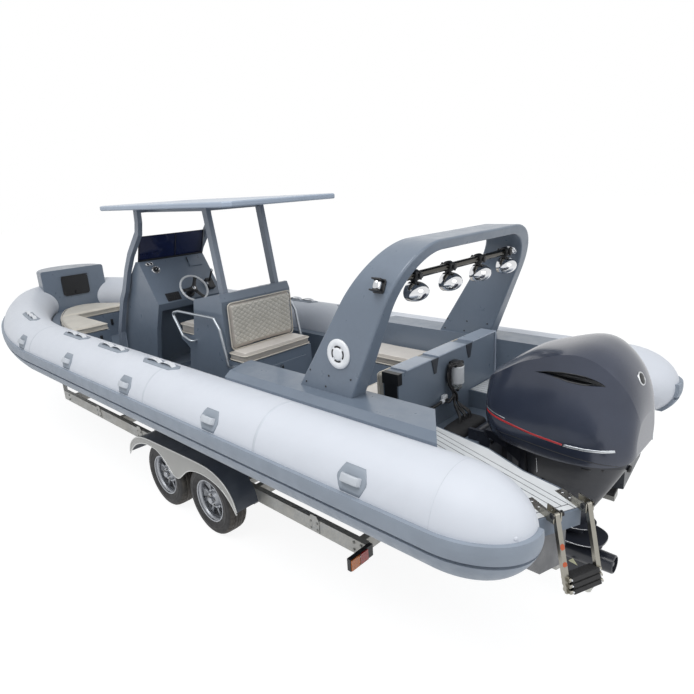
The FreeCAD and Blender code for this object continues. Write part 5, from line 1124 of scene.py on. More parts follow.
def platform_planks():
    deck = Surface("swim_platforms")
    boards, beds = Build(), Build()
    for side in SIDES:
        for build, cut, height in ((beds, False, 0.0008), (boards, True, 0.0024)):
            form = bmesh.new()
            form.faces.new([form.verts.new((x, y, 0)) for x, y in PLATFORM])
            if cut:
                cut_planks(form)
            top = bmesh.ops.extrude_face_region(form, geom=list(form.faces))
            for item in top["geom"]:
                if isinstance(item, bmesh.types.BMVert):
                    item.co.z = height
            copied = {}
            for vert in form.verts:
                low = deck.hit(place(vert.co.x, vert.co.y * side, 2.0), -UP)
                level = low[0].z + 0.0003 if low and low[0].z > 1.15 else 1.300 + (vert.co.x + 1.750) * 0.0728
                copied[vert] = build.form.verts.new(place(vert.co.x, vert.co.y * side, level + vert.co.z))
            for face in form.faces:
                build.form.faces.new([copied[vert] for vert in face.verts])
            form.free()
    add("platform_joint_lines", beds, "joint_line", smooth=False)
    add("platform_planks", boards, "foam", smooth=False, bevel=0.0008, segments=1)


platform_planks()


# Outboard motor

FLANK_REACH = 0.8


def between(pairs, count):
    """Points spread along a line of (x, z) pairs."""
    points = []
    for first, last in zip(pairs, pairs[1:]):
        for index in range(count):
            share = index / count
            points.append((first[0] + (last[0] - first[0]) * share, first[1] + (last[1] - first[1]) * share))
    return points + [pairs[-1]]


def flank_hits(skin, pairs, side):
    """Points of a surface under (x, z) pairs, seen from one side."""
    return skin.hits([place(x, side * FLANK_REACH, z) for x, z in pairs], (0, -side, 0))


def cowl_trim():
    """Stripes, parting line and badge disc of the cowl."""
    shell = Surface("motor_cowl")
    red, silver, dark, badge, glass = [Build() for _ in range(5)]
    stripes = ((red, 0.016, 0.0012, [(-2.255, 1.462), (-2.40, 1.432), (-2.60, 1.398), (-2.80, 1.376)], 10),
               (silver, 0.019, 0.0022, [(-2.805, 1.3755), (-2.92, 1.376), (-3.02, 1.386), (-3.09, 1.400)], 8),
               (silver, 0.004, 0.0012, [(-2.24, 1.484), (-2.42, 1.452)], 10))
    for side in SIDES:
        for build, width, proud, line, count in stripes:
            ribbon(build, flank_hits(shell, between(line, count), side), width, proud)
    ring = []
    for index in range(72):
        way = heading(2 * math.pi * index / 72)
        ring += shell.hits([place(-2.69, 0, 1.318 + 0.030 * way.x) + way * 1.2], -way)
    ribbon(dark, ring, 0.006, 0.0010, closed=True)
    spot, normal = shell.hit(place(-3.6, 0.0, 1.770), (1, 0, 0))
    badge.lathe([(-0.006, 0.042), (0.003, 0.042), (0.006, 0.039), (0.006, 0.0345), (0.002, 0.033),
                 (0.002, 0.020)],
                spot, normal, 40)
    glass.lathe([(-0.002, 0.0335), (0.0055, 0.0335), (0.0085, 0.022), (0.0095, 0.004)], spot, normal, 40)
    for name, build, look, slot in (
            ("cowl_stripe_red", red, "stripe_red", "cowl_gloss"),
            ("cowl_stripe_silver", silver, "stripe_silver", "cowl_gloss"),
            ("cowl_parting_line", dark, "black", "black_plastic"),
            ("cowl_badge_ring", badge, "steel", "stainless"),
            ("cowl_badge_face", glass, "black", "black_plastic")):
        add(name, build, look, "motor")


def cowl_intakes():
    """Dark lining and vanes of the air intake on each side of the cowl."""
    shell = Surface("motor_cowl")
    build = Build()
    upper = between([(0.405, 0.762), (0.49, 0.786), (0.58, 0.799), (0.66, 0.798), (0.72, 0.791),
                     (0.78, 0.766),
                     (0.825, 0.736)], 4)
    lower = between([(0.825, 0.736), (0.77, 0.729), (0.70, 0.726), (0.62, 0.732), (0.55, 0.748),
                     (0.47, 0.757),
                     (0.405, 0.762)], 4)[1:-1]
    outline = [(-2.212 - 0.960 * share, 1.240 + 0.732 * height) for share, height in upper + lower]
    centre = (sum(x for x, _ in outline) / len(outline), sum(z for _, z in outline) / len(outline))
    for side in SIDES:
        rings = []
        for x, z in outline:
            out_x, out_z = x + (x - centre[0]) * 0.015, z + (z - centre[1]) * 0.12
            in_x, in_z = x + (centre[0] - x) * 0.01, z + (centre[1] - z) * 0.14
            hit = shell.hit(place(out_x, side * 0.8, out_z), (0, -side, 0))
            skin = abs(hit[0].y) if hit else 0.28
            skin = max(skin, 0.2635)
            rings.append([place(out_x, side * 0.2605, out_z), place(out_x, side * (skin + 0.0008), out_z),
                          place(in_x, side * (skin + 0.0002), in_z), place(in_x, side * 0.2605, in_z)])
        build.rings(rings, closed=True)
        build.prism([(x - centre[0], z - centre[1]) for x, z in outline],
                    place(centre[0], side * 0.2606, centre[1]), (1, 0, 0), (0, 0, 1), -0.002 * side)
        for level in (0.35, 0.65):
            points = []
            half = len(upper)
            for index in range(2, half - 2):
                high = outline[index]
                low = min(outline[half:], key=lambda item: abs(item[0] - high[0]))
                points.append(place(high[0], side * 0.266, low[1] + (high[1] - low[1]) * level))
            build.pipe(points, 0.0022, 6)
    add("cowl_intake_linings", build, "black", "motor")


def leg_trim():
    """Vents and knob under the cowl, and the lines, heads and anodes on the leg."""
    case = Surface("motor_leg")
    dark, pale, light = Build(), Build(), Build()
    for side in SIDES:
        for x, z, wide, tall in ((-2.890, 1.165, 0.056, 0.014), (-2.985, 1.178, 0.014, 0.014)):
            if flank_hits(case, [(x, z)], side):
                line = between([(x + wide / 2, z), (x - wide / 2, z)], 4)
                ribbon(dark, flank_hits(case, line, side), tall, 0.002)
        for hit in flank_hits(case, ((-2.60, 0.98), (-2.72, 0.80), (-2.62, 0.74), (-2.80, 0.90)), side):
            dome(dark, hit, 0.012, 0.006)
        ribbon(light, flank_hits(case, between([(-2.560, 1.140), (-2.560, 1.020)], 10), side), 0.006, 0.003)
        for level, stop in ((0.6935, -2.90), (0.606, -2.97)):
            hits = flank_hits(case, between([(-2.50, level), (stop, level)], 24), side)
            hits = [hit for hit in hits if abs(hit[0].y) > 0.06]
            if len(hits) > 2:
                ribbon(light, hits, 0.004, 0.0008)
        pale.prism([(0, 0), (0.062, 0.012), (0.030, 0.052)], place(-2.850, side * 0.0665, 0.395), (1, 0, 0),
                   (0, 0.25, 1), -0.004 * side)
    dark.lathe([(-0.02, 0.014), (0.016, 0.014), (0.018, 0.024), (0.034, 0.022), (0.038, 0.010)],
               place(-3.075, 0.0, 1.176), (-1, 0, -0.1), 20)
    add("leg_vents_and_knob", dark, "black", "motor")
    add("leg_bright_lines", light, "steel", "motor")
    add("leg_anodes", pale, "anode", "motor", smooth=False, bevel=0.0015)


cowl_trim()
cowl_intakes()
leg_trim()


# Boarding ladder

LADDER_TURN = math.radians(24)
LADDER_LEAN = math.radians(15)
LADDER_OUT = Vector((-math.cos(LADDER_TURN), math.sin(LADDER_TURN), 0))


def ladder_matrix():
    """Frame at the ladder's hinge: X along the platform's edge, Z up the hanging ladder."""
    along = Vector((math.sin(LADDER_TURN), math.cos(LADDER_TURN), 0))
    upward = UP * math.cos(LADDER_LEAN) - LADDER_OUT * math.sin(LADDER_LEAN)
    local = Matrix((along, upward.cross(along), upward)).transposed().to_4x4()
    local.translation = place(-3.0141, 0.735, 1.245) + LADDER_OUT * 0.034
    return local


def tread_outline():
    """Section of a tread's sleeve, with six ribs on top."""
    outline = [(-0.0335, -0.0015), (0.0335, -0.0015), (0.036, 0.001), (0.036, 0.021), (0.0335, 0.0235)]
    for index in range(6):
        edge = 0.029 - index * 0.0116
        outline += [(edge, 0.0235), (edge - 0.0015, 0.0252), (edge - 0.0058, 0.0252), (edge - 0.0073, 0.0235)]
    return outline[:-1] + [(-0.0335, 0.0235), (-0.036, 0.021), (-0.036, 0.001)]


def ladder_trim():
    """Tread and end tabs of each section, and the caps, marks and screws at the hinge."""
    local = ladder_matrix()
    along, across, upward = [row.copy() for row in local.to_3x3().transposed()]
    for body, stem, drop in (("ladder_upper", "top", 0.356), ("ladder_mid", "middle", 0.388),
                             ("ladder_lower", "low", 0.420)):
        sleeve, tabs = Build(), Build()
        sleeve.prism(tread_outline(), local @ Vector((-0.092, 0, -drop)), across, upward, 0.184)
        for x in (-0.0935, 0.0935):
            tabs.block((x - 0.006, 0.017, -drop + 0.006), (x + 0.006, 0.035, -drop + 0.016), 0.003)
        tabs.move(local)
        add("ladder_tread_" + stem, sleeve, "tread", body, smooth=False)
        add("ladder_tabs_" + stem, tabs, "white", body)
    caps, marks, screws = Build(), Build(), Build()
    plate = Surface("ladder_bracket")
    for sign in (-1, 1):
        for x, way in ((0.0725, -1), (0.1365, 1)):
            caps.lathe([(-0.001, 0.017), (0.004, 0.017), (0.007, 0.012), (0.008, 0.003)],
                       local @ Vector((sign * x, 0, 0)), along * sign * way, 20)
        above = local.translation + along * sign * 0.108 + UP * 0.4
        heads(screws, plate, [above - LADDER_OUT * back for back in (0.075, 0.130, 0.185)], -UP, 0.008, 0.003,
              12)
    for z, tall in ((-0.168, 0.018), (-0.262, 0.014)):
        shape = [(-0.013, -tall * 0.8), (0.006, -tall), (0.014, -tall * 0.3), (0.012, tall * 0.7),
                 (-0.004, tall),
                 (-0.014, tall * 0.4)]
        for thick in (-0.0008, 0.0002):
            marks.prism(shape, local @ Vector((0.110, 0.0121, z)), along, upward, thick)
    add("ladder_hinge_caps", caps, "black")
    add("ladder_marks", marks, "orange", "ladder_upper", smooth=False)
    add("ladder_screws", screws, "steel")


ladder_trim()


# Aft arch and its lamps

ARCH_REACH = 1.6


def speaker(skin, side, name):
    """White disc with four black slots on the outside of an arch leg."""
    spot, normal = skin.hit(place(-1.555, side * ARCH_REACH, 1.905), (0, -side, 0))
    disc, slots = Build(), Build()
    disc.lathe([(-0.001, 0.100), (0.008, 0.100), (0.013, 0.093), (0.015, 0.080), (0.015, 0.060),
                (0.012, 0.057),
                (0.012, 0.043), (0.016, 0.040), (0.018, 0.028), (0.0185, 0.003)], spot, normal, 56)
    across = normal.orthogonal().normalized()
    quarter, gap = math.pi / 2, 0.22
    for number in range(4):
        arc = arc_points(spot + normal * 0.0115, across, normal.cross(across), 0.0500,
                         number * quarter + gap, (number + 1) * quarter - gap, 12)
        ribbon(slots, [(point, normal) for point in arc], 0.013, 0.0022)
    add("speaker_disc_" + name, disc, "white")
    add("speaker_slots_" + name, slots, "black")


def side_lamp(skin, side, name):
    """Lamp with a shelf above and below its round lens on the outside of an arch leg."""
    spot, normal = skin.hit(place(-1.880, side * ARCH_REACH, 2.365), (0, -side, 0))
    housing, lens = Build(), Build()
    fore = UP.cross(normal).normalized()
    upward = normal.cross(fore)
    housing.prism([(-0.040, -0.045), (0.030, -0.045), (0.040, -0.032), (0.040, 0.032), (0.030, 0.045),
                   (-0.040, 0.045)], spot - normal * 0.001, fore, upward, 0.012)
    for level in (-0.040, 0.030):
        housing.prism([(-0.036, 0), (0.034, 0), (0.034, 0.010), (-0.036, 0.010)],
                      spot + upward * level + normal * 0.010, fore, upward, 0.050)
    lens.lathe([(-0.030, 0.026), (-0.010, 0.028), (0.010, 0.028), (0.030, 0.026)], spot + normal * 0.030,
               upward, 28)
    add("side_lamp_body_" + name, housing, "black", bevel=0.003)
    add("side_lamp_lens_" + name, lens, "steel")


def arch_trim():
    """Bolts on both faces of the arch's legs, and a speaker and a lamp on each."""
    skin = Surface("arch")
    bolts = Build()
    outer = ((-1.28, 1.75), (-1.24, 1.66), (-1.43, 1.66), (-1.66, 1.75), (-1.46, 1.74))
    inner = ((-1.26, 1.74), (-1.46, 1.74), (-1.66, 1.74), (-1.23, 1.65), (-1.43, 1.65), (-1.63, 1.65))
    for spots, reach, turn in ((outer, ARCH_REACH, -1), (inner, 0, 1)):
        for x, z in spots:
            for side in SIDES:
                heads(bolts, skin, [place(x, side * reach, z)], (0, side * turn, 0), 0.007, 0.004, 10)
    add("arch_bolts", bolts, "black")
    for side, name in ((1, "port"), (-1, "starboard")):
        speaker(skin, side, name)
        side_lamp(skin, side, name)


def lamp_trim():
    """Black clamps on the bar, the joint and glass of each lamp, and the bar's flanges."""
    clamps, glass, flanges = Build(), Build(), Build()
    bar = place(-1.900, 0, 2.385)
    port, up = (0, 1, 0), (0, 0, 1)
    for index in range(4):
        centre = bar + Vector((0, 0.550 - 0.390 * index, 0))
        clamps.lathe([(-0.020, 0.036), (-0.017, 0.039), (0.017, 0.039), (0.020, 0.036)], centre, port, 28)
        for sign in (-1, 1):
            ear = centre + Vector((sign * 0.050, 0, 0))
            half = Vector((0.010, 0.016, 0.015))
            clamps.block(ear - half, ear + half, 0.004)
            clamps.lathe([(-0.024, 0.008), (0.022, 0.008), (0.026, 0.005)], ear, up, 12)
        clamps.lathe([(-0.009, 0.017), (0.009, 0.019)], centre + Vector((0, 0, -0.034)), up, 20)
        turns = [2 * math.pi * step / 36 for step in range(36)]
        glass.rings([[centre + Vector((along, math.cos(turn) * 0.0785 * share,
                                       math.sin(turn) * 0.056 * share - 0.102))
                      for turn in turns]
                     for along, share in ((0.0125, 0.985), (0.0185, 0.80), (0.0215, 0.5), (0.0225, 0.05))])
    skin = Surface("arch")
    for side in SIDES:
        for spot, normal in skin.hits([bar], (0, side, 0)):
            flanges.lathe([(-0.001, 0.046), (0.006, 0.046), (0.010, 0.040), (0.012, 0.030), (0.026, 0.029),
                           (0.028, 0.026)], spot, normal, 28)
            for number in range(3):
                base = spot + heading(math.radians(90 + 120 * number), 0, 2) * 0.037
                dome(flanges, (base + normal * 0.008, normal), 0.005, 0.004, 10)
    add("lamp_clamps", clamps, "black")
    add("lamp_glasses", glass, "lamp_glass")
    add("lamp_bar_flanges", flanges, "steel")


arch_trim()
lamp_trim()


# Bulkhead, fuel filter and rigging


def bulkhead_trim():
    """Pale cap strips and corner strip, dark gussets under them, and a black sheet over the bulkhead's port
    end face as painted shade, with a black block at the top of that end.
    """
    caps, gussets, end = Build(), Build(), Build()
    ahead, port, up = (1, 0, 0), (0, 1, 0), (0, 0, 1)
    cap_outline = [(0, -0.001), (0.146, -0.001), (0.146, 0.006), (0.142, 0.010), (0.004, 0.010), (0, 0.006)]
    for start, stop in ((-0.778, -0.405), (-0.300, 0.080), (0.165, 0.470)):
        caps.prism(cap_outline, place(-1.756, start, 1.690), ahead, up, start - stop)
    caps.prism([(0, 0), (0.020, 0), (0.020, 0.385), (0, 0.385)], place(-1.7515, -0.7785, 1.303), port, up,
               -0.008)
    for y in (-0.3525, 0.1225):
        gussets.prism([(-0.046, 0), (0.046, 0), (0.014, -0.115), (-0.014, -0.115)], place(-1.7503, y, 1.6885),
                      port, up, -0.006)
    # Painted shade: a thin black sheet over the bulkhead's port end face. The next block is black, at the top
    # of that end.
    end.prism([(0.010, 0.010), (0.124, 0.010), (0.124, 0.375), (0.010, 0.375)], place(-1.750, 0.5602, 1.305),
              ahead, up, -0.003)
    end.prism([(-0.004, 0.31), (0.140, 0.31), (0.140, 0.394), (-0.004, 0.394)], place(-1.750, 0.5205, 1.298),
              ahead, up, -0.046)
    add("bulkhead_caps", caps, "cap", smooth=False, bevel=0.002)
    add("bulkhead_gussets", gussets, "hull", smooth=False, bevel=0.002)
    add("bulkhead_end_shade_and_cap", end, "black", smooth=False, bevel=0.003)


def hose_end(number):
    """X and Y at which a hose of the bundle enters the boot."""
    return -1.925 - 0.012 * (number % 2), -0.085 + number * 0.034


def filter_parts():
    """Water separating fuel filter: head with ports, white body, clear bowl and drain, and the hoses' boot."""
    head, can, bowl, boot = [Build() for _ in range(4)]
    base = place(-1.805, -0.100, 0)
    head.lathe([(1.584, 0.045), (1.587, 0.0475), (1.595, 0.0475), (1.600, 0.040), (1.610, 0.034),
                (1.612, 0.026),
                (1.617, 0.022), (1.618, 0.008)], base, UP, 36)
    for angle in (55, 80, 105, 262, 300):
        head.lathe([(0.030, 0.012), (0.046, 0.012), (0.048, 0.015), (0.056, 0.015), (0.058, 0.009)],
                   base + UP * 1.600, heading(math.radians(angle)), 14)
    head.block(base + Vector((-0.012, -0.040, 1.565)), base + Vector((0.053, 0.040, 1.620)), 0.005)
    can.lathe([(1.442, 0.040), (1.446, 0.047), (1.452, 0.0495), (1.572, 0.0495), (1.580, 0.0515),
               (1.586, 0.0515),
               (1.588, 0.046)], base, UP, 40)
    bowl.lathe([(1.400, 0.016), (1.404, 0.030), (1.412, 0.034), (1.438, 0.036), (1.441, 0.034)], base, UP, 32)
    head.lathe([(1.376, 0.004), (1.380, 0.012), (1.390, 0.012), (1.392, 0.006), (1.400, 0.006)], base, UP, 16)
    plan = ((-1.868, -0.120), (-1.882, -0.155), (-1.905, -0.165), (-2.010, -0.165), (-2.036, -0.140),
            (-2.040, 0.0), (-2.036, 0.190), (-2.010, 0.225), (-1.905, 0.240), (-1.880, 0.225),
            (-1.872, 0.160),
            (-1.866, 0.0))
    x0, y0 = -1.955, 0.03
    boot.rings([[place(x0 + (x - x0) * share + lean, y0 + (y - y0) * share, z) for x, y in plan]
                for z, share, lean in ((1.1505, 1.0, 0), (1.160, 1.0, 0), (1.168, 1.0, 0),
                                       (1.190, 0.96, 0.004),
                                       (1.204, 0.86, 0.010), (1.212, 0.62, 0.016))])
    for number in range(6):
        boot.lathe([(-0.002, 0.016), (0.010, 0.015), (0.014, 0.012)], place(*hose_end(number), 1.208),
                   (0.25, 0, 1), 16)
    for item in (add("filter_head", head, "black"),
                 add("filter_can", can, "white"),
                 add("filter_bowl", bowl, "bowl"),
                 add("rigging_boot", boot, "pad", bevel=0.004)):
        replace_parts(item, "fuel_filter")


def rigging_hoses():
    """Hoses from the filter's ports and the bulkhead fitting, gathered by a clip and led into the boot."""
    hoses, clip = Build(), Build()
    starts = [(-1.774, -0.055, 1.604), (-1.796, -0.045, 1.603), (-1.819, -0.046, 1.603),
              (-1.768, -0.064, 1.592),
              (-1.775, 0.015, 1.345), (-1.775, 0.030, 1.330)]
    for number, start in enumerate(starts):
        odd, spread = number % 2, number - 2.5
        x, y, z = start
        gather = (-1.800 - 0.010 * (number % 3), -0.056 + spread * 0.010, 1.372 - 0.006 * odd)
        ends = (*hose_end(number), 1.214)
        if z > 1.5:
            points = [start, (x * 0.7 - 1.770 * 0.3, y + 0.030, z - 0.010),
                      (-1.768 - 0.010 * odd, -0.010 + spread * 0.012, z - 0.075),
                      (-1.772 - 0.010 * odd, -0.022 + spread * 0.010, 1.450)]
        else:
            points = [start, (x - 0.035, y - 0.004, z - 0.001)]
        points += [gather, (gather[0] - 0.018, gather[1] * 0.8 + ends[1] * 0.2, 1.300),
                   (ends[0] + 0.010, ends[1] * 0.85 + gather[1] * 0.15, 1.250), ends]
        hoses.pipe(smooth_line([place(*point) for point in points]), 0.0088 if odd else 0.0072, 12)
    cable = [(-1.7525, 0.300, 1.330), (-1.772, 0.240, 1.330), (-1.776, 0.150, 1.332), (-1.774, 0.060, 1.338),
             (-1.775, 0.022, 1.340)]
    hoses.pipe(smooth_line([place(*point) for point in cable]), 0.012, 14)
    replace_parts(add("rigging_hoses", hoses, "hose"), "fuel_hoses")
    clip.block(place(-1.782, 0.000, 1.328), place(-1.7505, 0.052, 1.378), 0.006)
    clip.lathe([(-0.014, 0.016), (-0.010, 0.018), (0.010, 0.018), (0.014, 0.016)],
               place(-1.775, 0.066, 1.338),
               (0, 1, 0), 20)
    add("rigging_clip", clip, "white")


bulkhead_trim()
filter_parts()
rigging_hoses()


# Console: dials, switches, panel, steering wheel and windscreen trim

DASH_FOOT_X, DASH_FOOT_Z = 1.700, 1.800
DASH_TOP_X, DASH_TOP_Z = 2.020, 2.255
DASH_TILT = math.atan2(DASH_TOP_Z - DASH_FOOT_Z, DASH_TOP_X - DASH_FOOT_X)


def dash_matrix():
    """Frame on the dash: X up its slope, Y to port, Z out of it."""
    out = Vector((-math.sin(DASH_TILT), 0, math.cos(DASH_TILT)))
    local = Matrix((heading(DASH_TILT, 0, 2), Vector((0, 1, 0)), out)).transposed().to_4x4()
    local.translation = place(DASH_FOOT_X, 0, DASH_FOOT_Z)
    return local


def dial(rings, faces, radius, tall, base, out):
    """Bright ring and dark face of a dial or key switch."""
    rings.lathe([(0.0005, radius + 0.006), (tall * 0.4, radius + 0.007), (tall + 0.003, radius + 0.004),
                 (tall + 0.003, radius - 0.001), (tall + 0.0005, radius - 0.002),
                 (tall + 0.0004, radius * 0.5)],
                base, out, 40)
    faces.lathe([(tall - 0.002, radius - 0.001), (tall + 0.0014, radius - 0.0015),
                 (tall + 0.0024, radius * 0.4),
                 (tall + 0.0025, 0.001)], base, out, 36)


def dash_trim():
    local = dash_matrix()
    out = local.to_3x3() @ UP
    across, along = (1, 0, 0), (0, 1, 0)
    rings, faces, marks, dark, plate, knob = [Build() for _ in range(6)]
    for up, port, radius, tall in ((0.511, 0.330, 0.017, 0.012), (0.511, 0.285, 0.017, 0.012),
                                   (0.426, 0.265, 0.042, 0.014)):
        dial(rings, faces, radius, tall, local @ Vector((up, port, 0)), out)
    for number in range(11):
        angle = math.radians(-30 + number * 24)
        way = Vector((math.sin(angle), -math.cos(angle), 0))
        ribbon(marks, [(way * share + UP * (tall + 0.0019), UP) for share in (0.029, 0.036)], 0.0016, 0.0004)
    hand = [(Vector((x, y, tall + 0.0024)), UP) for x, y in ((-0.004, 0.002), (0.024, -0.012))]
    ribbon(marks, hand, 0.002, 0.0006)
    marks.move(local @ Matrix.Translation((up, port, 0)))
    for number in range(6):
        left = 0.137 + number * 0.0245
        for low, high in ((0.030, 0.058), (0.070, 0.098)):
            dark.block((low, left, 0.0085), (high, left + 0.019, 0.0145), 0.002)
    dark.prism([(0.016, 0.126), (0.114, 0.126), (0.114, 0.294), (0.016, 0.294)], (0, 0, 0.0006), across,
               along, 0.009)
    dark.move(local)
    plate.prism([(0.400, -0.336), (0.532, -0.322), (0.532, -0.178), (0.404, -0.164)], (0, 0, 0.0006), across,
                along,
                0.0175)
    plate.move(local)
    knob.lathe([(-0.012, 0.012), (-0.004, 0.019), (0.006, 0.019), (0.012, 0.012), (0.013, 0.003)],
               local @ Vector((0.215, -0.290, 0.190)), along, 20)
    knob.lathe([(-0.001, 0.030), (0.004, 0.030), (0.006, 0.024), (0.007, 0.008)],
               local @ Vector((0.125, -0.250, 0.035)), along, 28)
    add("dial_rings", rings, "steel")
    add("dial_faces", faces, "dial")
    add("dial_marks", marks, "white", smooth=False)
    add("switch_rows", dark, "black", smooth=False)
    add("dash_panel_cover", plate, "slate", smooth=False, bevel=0.003)
    add("throttle_knob", knob, "steel")


def steering_wheel():
    """Thick pale rim with finger ridges, black spokes and hub."""
    local = dash_matrix()
    centre = Vector((0.0578, 0, 0.135))
    rim, spokes, cap = Build(), Build(), Build()
    rings = []
    for index in range(96):
        angle = 2 * math.pi * index / 96
        way, thick = heading(angle), 0.0118 + 0.0010 * math.cos(angle * 24)
        rings.append([local @ point for point in circle(centre + way * 0.160, way, UP, thick, 14)])
    rim.rings(rings, closed=True)
    section = ((-1, -0.6), (-0.7, -1), (0.7, -1), (1, -0.6), (1, 0.6), (0.7, 1), (-0.7, 1), (-1, 0.6))
    for angle in (90, 210, 330):
        way = heading(math.radians(angle))
        across = Vector((-way.y, way.x, 0))
        rows = []
        for along, wide, drop, thick in ((0.022, 0.054, -0.010, 0.006), (0.060, 0.042, -0.013, 0.005),
                                         (0.105, 0.036, -0.012, 0.004), (0.150, 0.044, -0.003, 0.004)):
            base = centre + way * along
            rows.append([local @ (base + across * x * wide * 0.5 + UP * (drop + z * thick))
                         for x, z in section])
        spokes.rings(rows)
    hub, out = local @ centre, local.to_3x3() @ UP
    spokes.lathe([(-0.033, 0.032), (-0.020, 0.038), (-0.004, 0.040), (0.004, 0.038), (0.007, 0.030),
                  (0.008, 0.006)],
                 hub, out, 36)
    cap.lathe([(0.006, 0.020), (0.010, 0.020), (0.0125, 0.014), (0.013, 0.002)], hub, out, 28)
    for item in (add("wheel_rim", rim, "pale", "helm"),
                 add("wheel_spokes", spokes, "black", "helm"),
                 add("wheel_cap", cap, "steel", "helm")):
        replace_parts(item, "steering_wheel")


def screen_trim():
    """Edge strips, the join between the two panes and the foot rail of the windscreen."""
    foot, top = place(DASH_TOP_X, 0, DASH_TOP_Z), place(1.925, 0, 2.540)
    tall, upward = (top - foot).length, (top - foot).normalized()
    aft = upward.cross(Vector((0, 1, 0))).normalized()
    dark = Build()
    for across, wide in ((-0.041, 0.010), (-0.409, 0.008), (0.409, 0.008)):
        start = foot + Vector((0, across, 0)) + upward * 0.004
        ribbon(dark, [(start, aft), (start + upward * (tall - 0.008), aft)], wide, 0.003)
    for lift, wide in ((0.012, 0.022), (tall - 0.003, 0.006)):
        ribbon(dark, [(foot + upward * lift + Vector((0, across, 0)), aft) for across in (-0.408, 0.408)],
               wide, 0.003)
    add("screen_strips", dark, "black", smooth=False)


def latches():
    """Black latches on the fronts of the seat locker and the bow seats."""
    latch, front = Build(), Surface("bow_seats")
    latch.block(place(0.166, -0.021, 1.176), place(0.1815, 0.021, 1.262), 0.006)
    latch.block(place(0.160, -0.013, 1.225), place(0.168, 0.013, 1.256), 0.003)
    add("seat_hatch_latch", latch, "black", "seat_locker_hatch")
    latch = Build()
    for start, level, y, low, high in ((2.6, 1.20, 0.46, 1.150, 1.235), (2.6, 1.20, -0.46, 1.150, 1.235),
                                       (3.6, 1.16, -0.16, 1.110, 1.200)):
        for spot, _ in front.hits([place(start, 0 if start > 3 else y, level)], (1, 0, 0)):
            x = spot.x - AXLE_X
            latch.block(place(x - 0.014, y - 0.018, low), place(x - 0.0005, y + 0.018, high), 0.005)
    add("bow_seat_latches", latch, "black")


dash_trim()
steering_wheel()
screen_trim()
latches()


# Wheels

AXLE_SPACING = 0.770
HALF_TRACK = 1.025
WHEEL_LEVEL = 0.325
TREAD_STEPS = 160


def tyre_mesh(centre, side):
    """Sidewalls with ridges and a tread of ribs and cut shoulders."""
    half = [(-0.082, 0.2005, 0), (-0.088, 0.206, 0), (-0.089, 0.215, 0), (-0.0925, 0.222, 0),
            (-0.0945, 0.245, 0),
            (-0.0950, 0.250, 0), (-0.0965, 0.2515, 0), (-0.0965, 0.2545, 0), (-0.0950, 0.256, 0),
            (-0.0945, 0.272, 0),
            (-0.0925, 0.290, 0), (-0.0880, 0.303, 0), (-0.0840, 0.309, 1), (-0.0740, 0.3185, 1),
            (-0.0600, 0.3225, 1),
            (-0.0470, 0.3238, 1), (-0.0460, 0.3165, 0), (-0.0400, 0.3165, 0), (-0.0390, 0.3243, 0),
            (-0.0140, 0.3248, 0), (-0.0130, 0.3175, 0), (-0.0070, 0.3175, 0), (-0.0060, 0.3250, 0)]
    build = Build()
    rings = []
    for y, radius, cut in half + [(-y, radius, cut) for y, radius, cut in half[::-1]]:
        ring = []
        for index in range(TREAD_STEPS):
            deep = 0.006 if cut and index % 5 == 0 else 0.0
            way = heading(2 * math.pi * index / TREAD_STEPS, 0, 2)
            ring.append(centre + way * (radius - deep) + Vector((0, y * side, 0)))
        rings.append(ring)
    build.rings(rings, closed=True)
    return build


def wheel_trim(body, centre, side):
    """Nuts, valve, hub cap, rolled lip and spoke ribs of a rim."""
    out = Vector((0, side, 0))
    nuts, cap, lip = Build(), Build(), Build()
    for number in range(5):
        base = centre + heading(2 * math.pi * number / 5 + 0.3, 0, 2) * 0.049 + out * 0.0595
        nuts.lathe([(-0.001, 0.0095), (0.009, 0.0095), (0.012, 0.006), (0.0125, 0.001)], base, out, 6)
    cap.lathe([(-0.001, 0.031), (0.020, 0.030), (0.028, 0.024), (0.031, 0.010), (0.0315, 0.001)],
              centre + out * 0.0600, out, 32)
    lip.lathe([(0.0795, 0.1985), (0.0850, 0.2000), (0.0885, 0.1985), (0.0890, 0.1940), (0.0850, 0.1880),
               (0.0795, 0.1870)], centre, out, 72, hollow=True)
    lip.lathe([(0.0794, 0.1869), (0.0660, 0.1862), (0.0600, 0.1775), (0.0400, 0.1755), (0.0385, 0.1869)],
              centre, out,
              72, hollow=True)
    for number in range(8):
        way = heading(math.radians(22.5 + 45 * number), 0, 2)
        lip.prism([(0.083, -0.004), (0.168, -0.010), (0.168, 0.010), (0.083, 0.004)], centre + out * 0.0330,
                  way,
                  out.cross(way), 0.0070)
    weight, half = centre + Vector((0, side * 0.083, -0.188)), Vector((0.012, 0.006, 0.004))
    lip.block(weight - half, weight + half, 0.002)
    nuts.lathe([(0.040, 0.004), (0.062, 0.0035), (0.063, 0.0045), (0.074, 0.0045), (0.075, 0.001)],
               centre + heading(2.2, 0, 2) * 0.176, out, 10)
    add("%s_nuts" % body, nuts, "bolt", body, smooth=False)
    add("%s_cap" % body, cap, "wheel", body)
    add("%s_lip" % body, lip, "wheel", body)


def wheels():
    for end, x in (("rear", 0.0), ("front", AXLE_SPACING)):
        for name, side in (("port", 1), ("starboard", -1)):
            body = "%s_wheel_%s" % (end, name)
            centre = place(x, HALF_TRACK * side, WHEEL_LEVEL)
            item = add("%s_tyre" % body, tyre_mesh(centre, side), "tyre", body)
            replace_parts(item, "tyre_%s_%s" % (end, name))
            wheel_trim(body, centre, side)


wheels()


# Road trailer

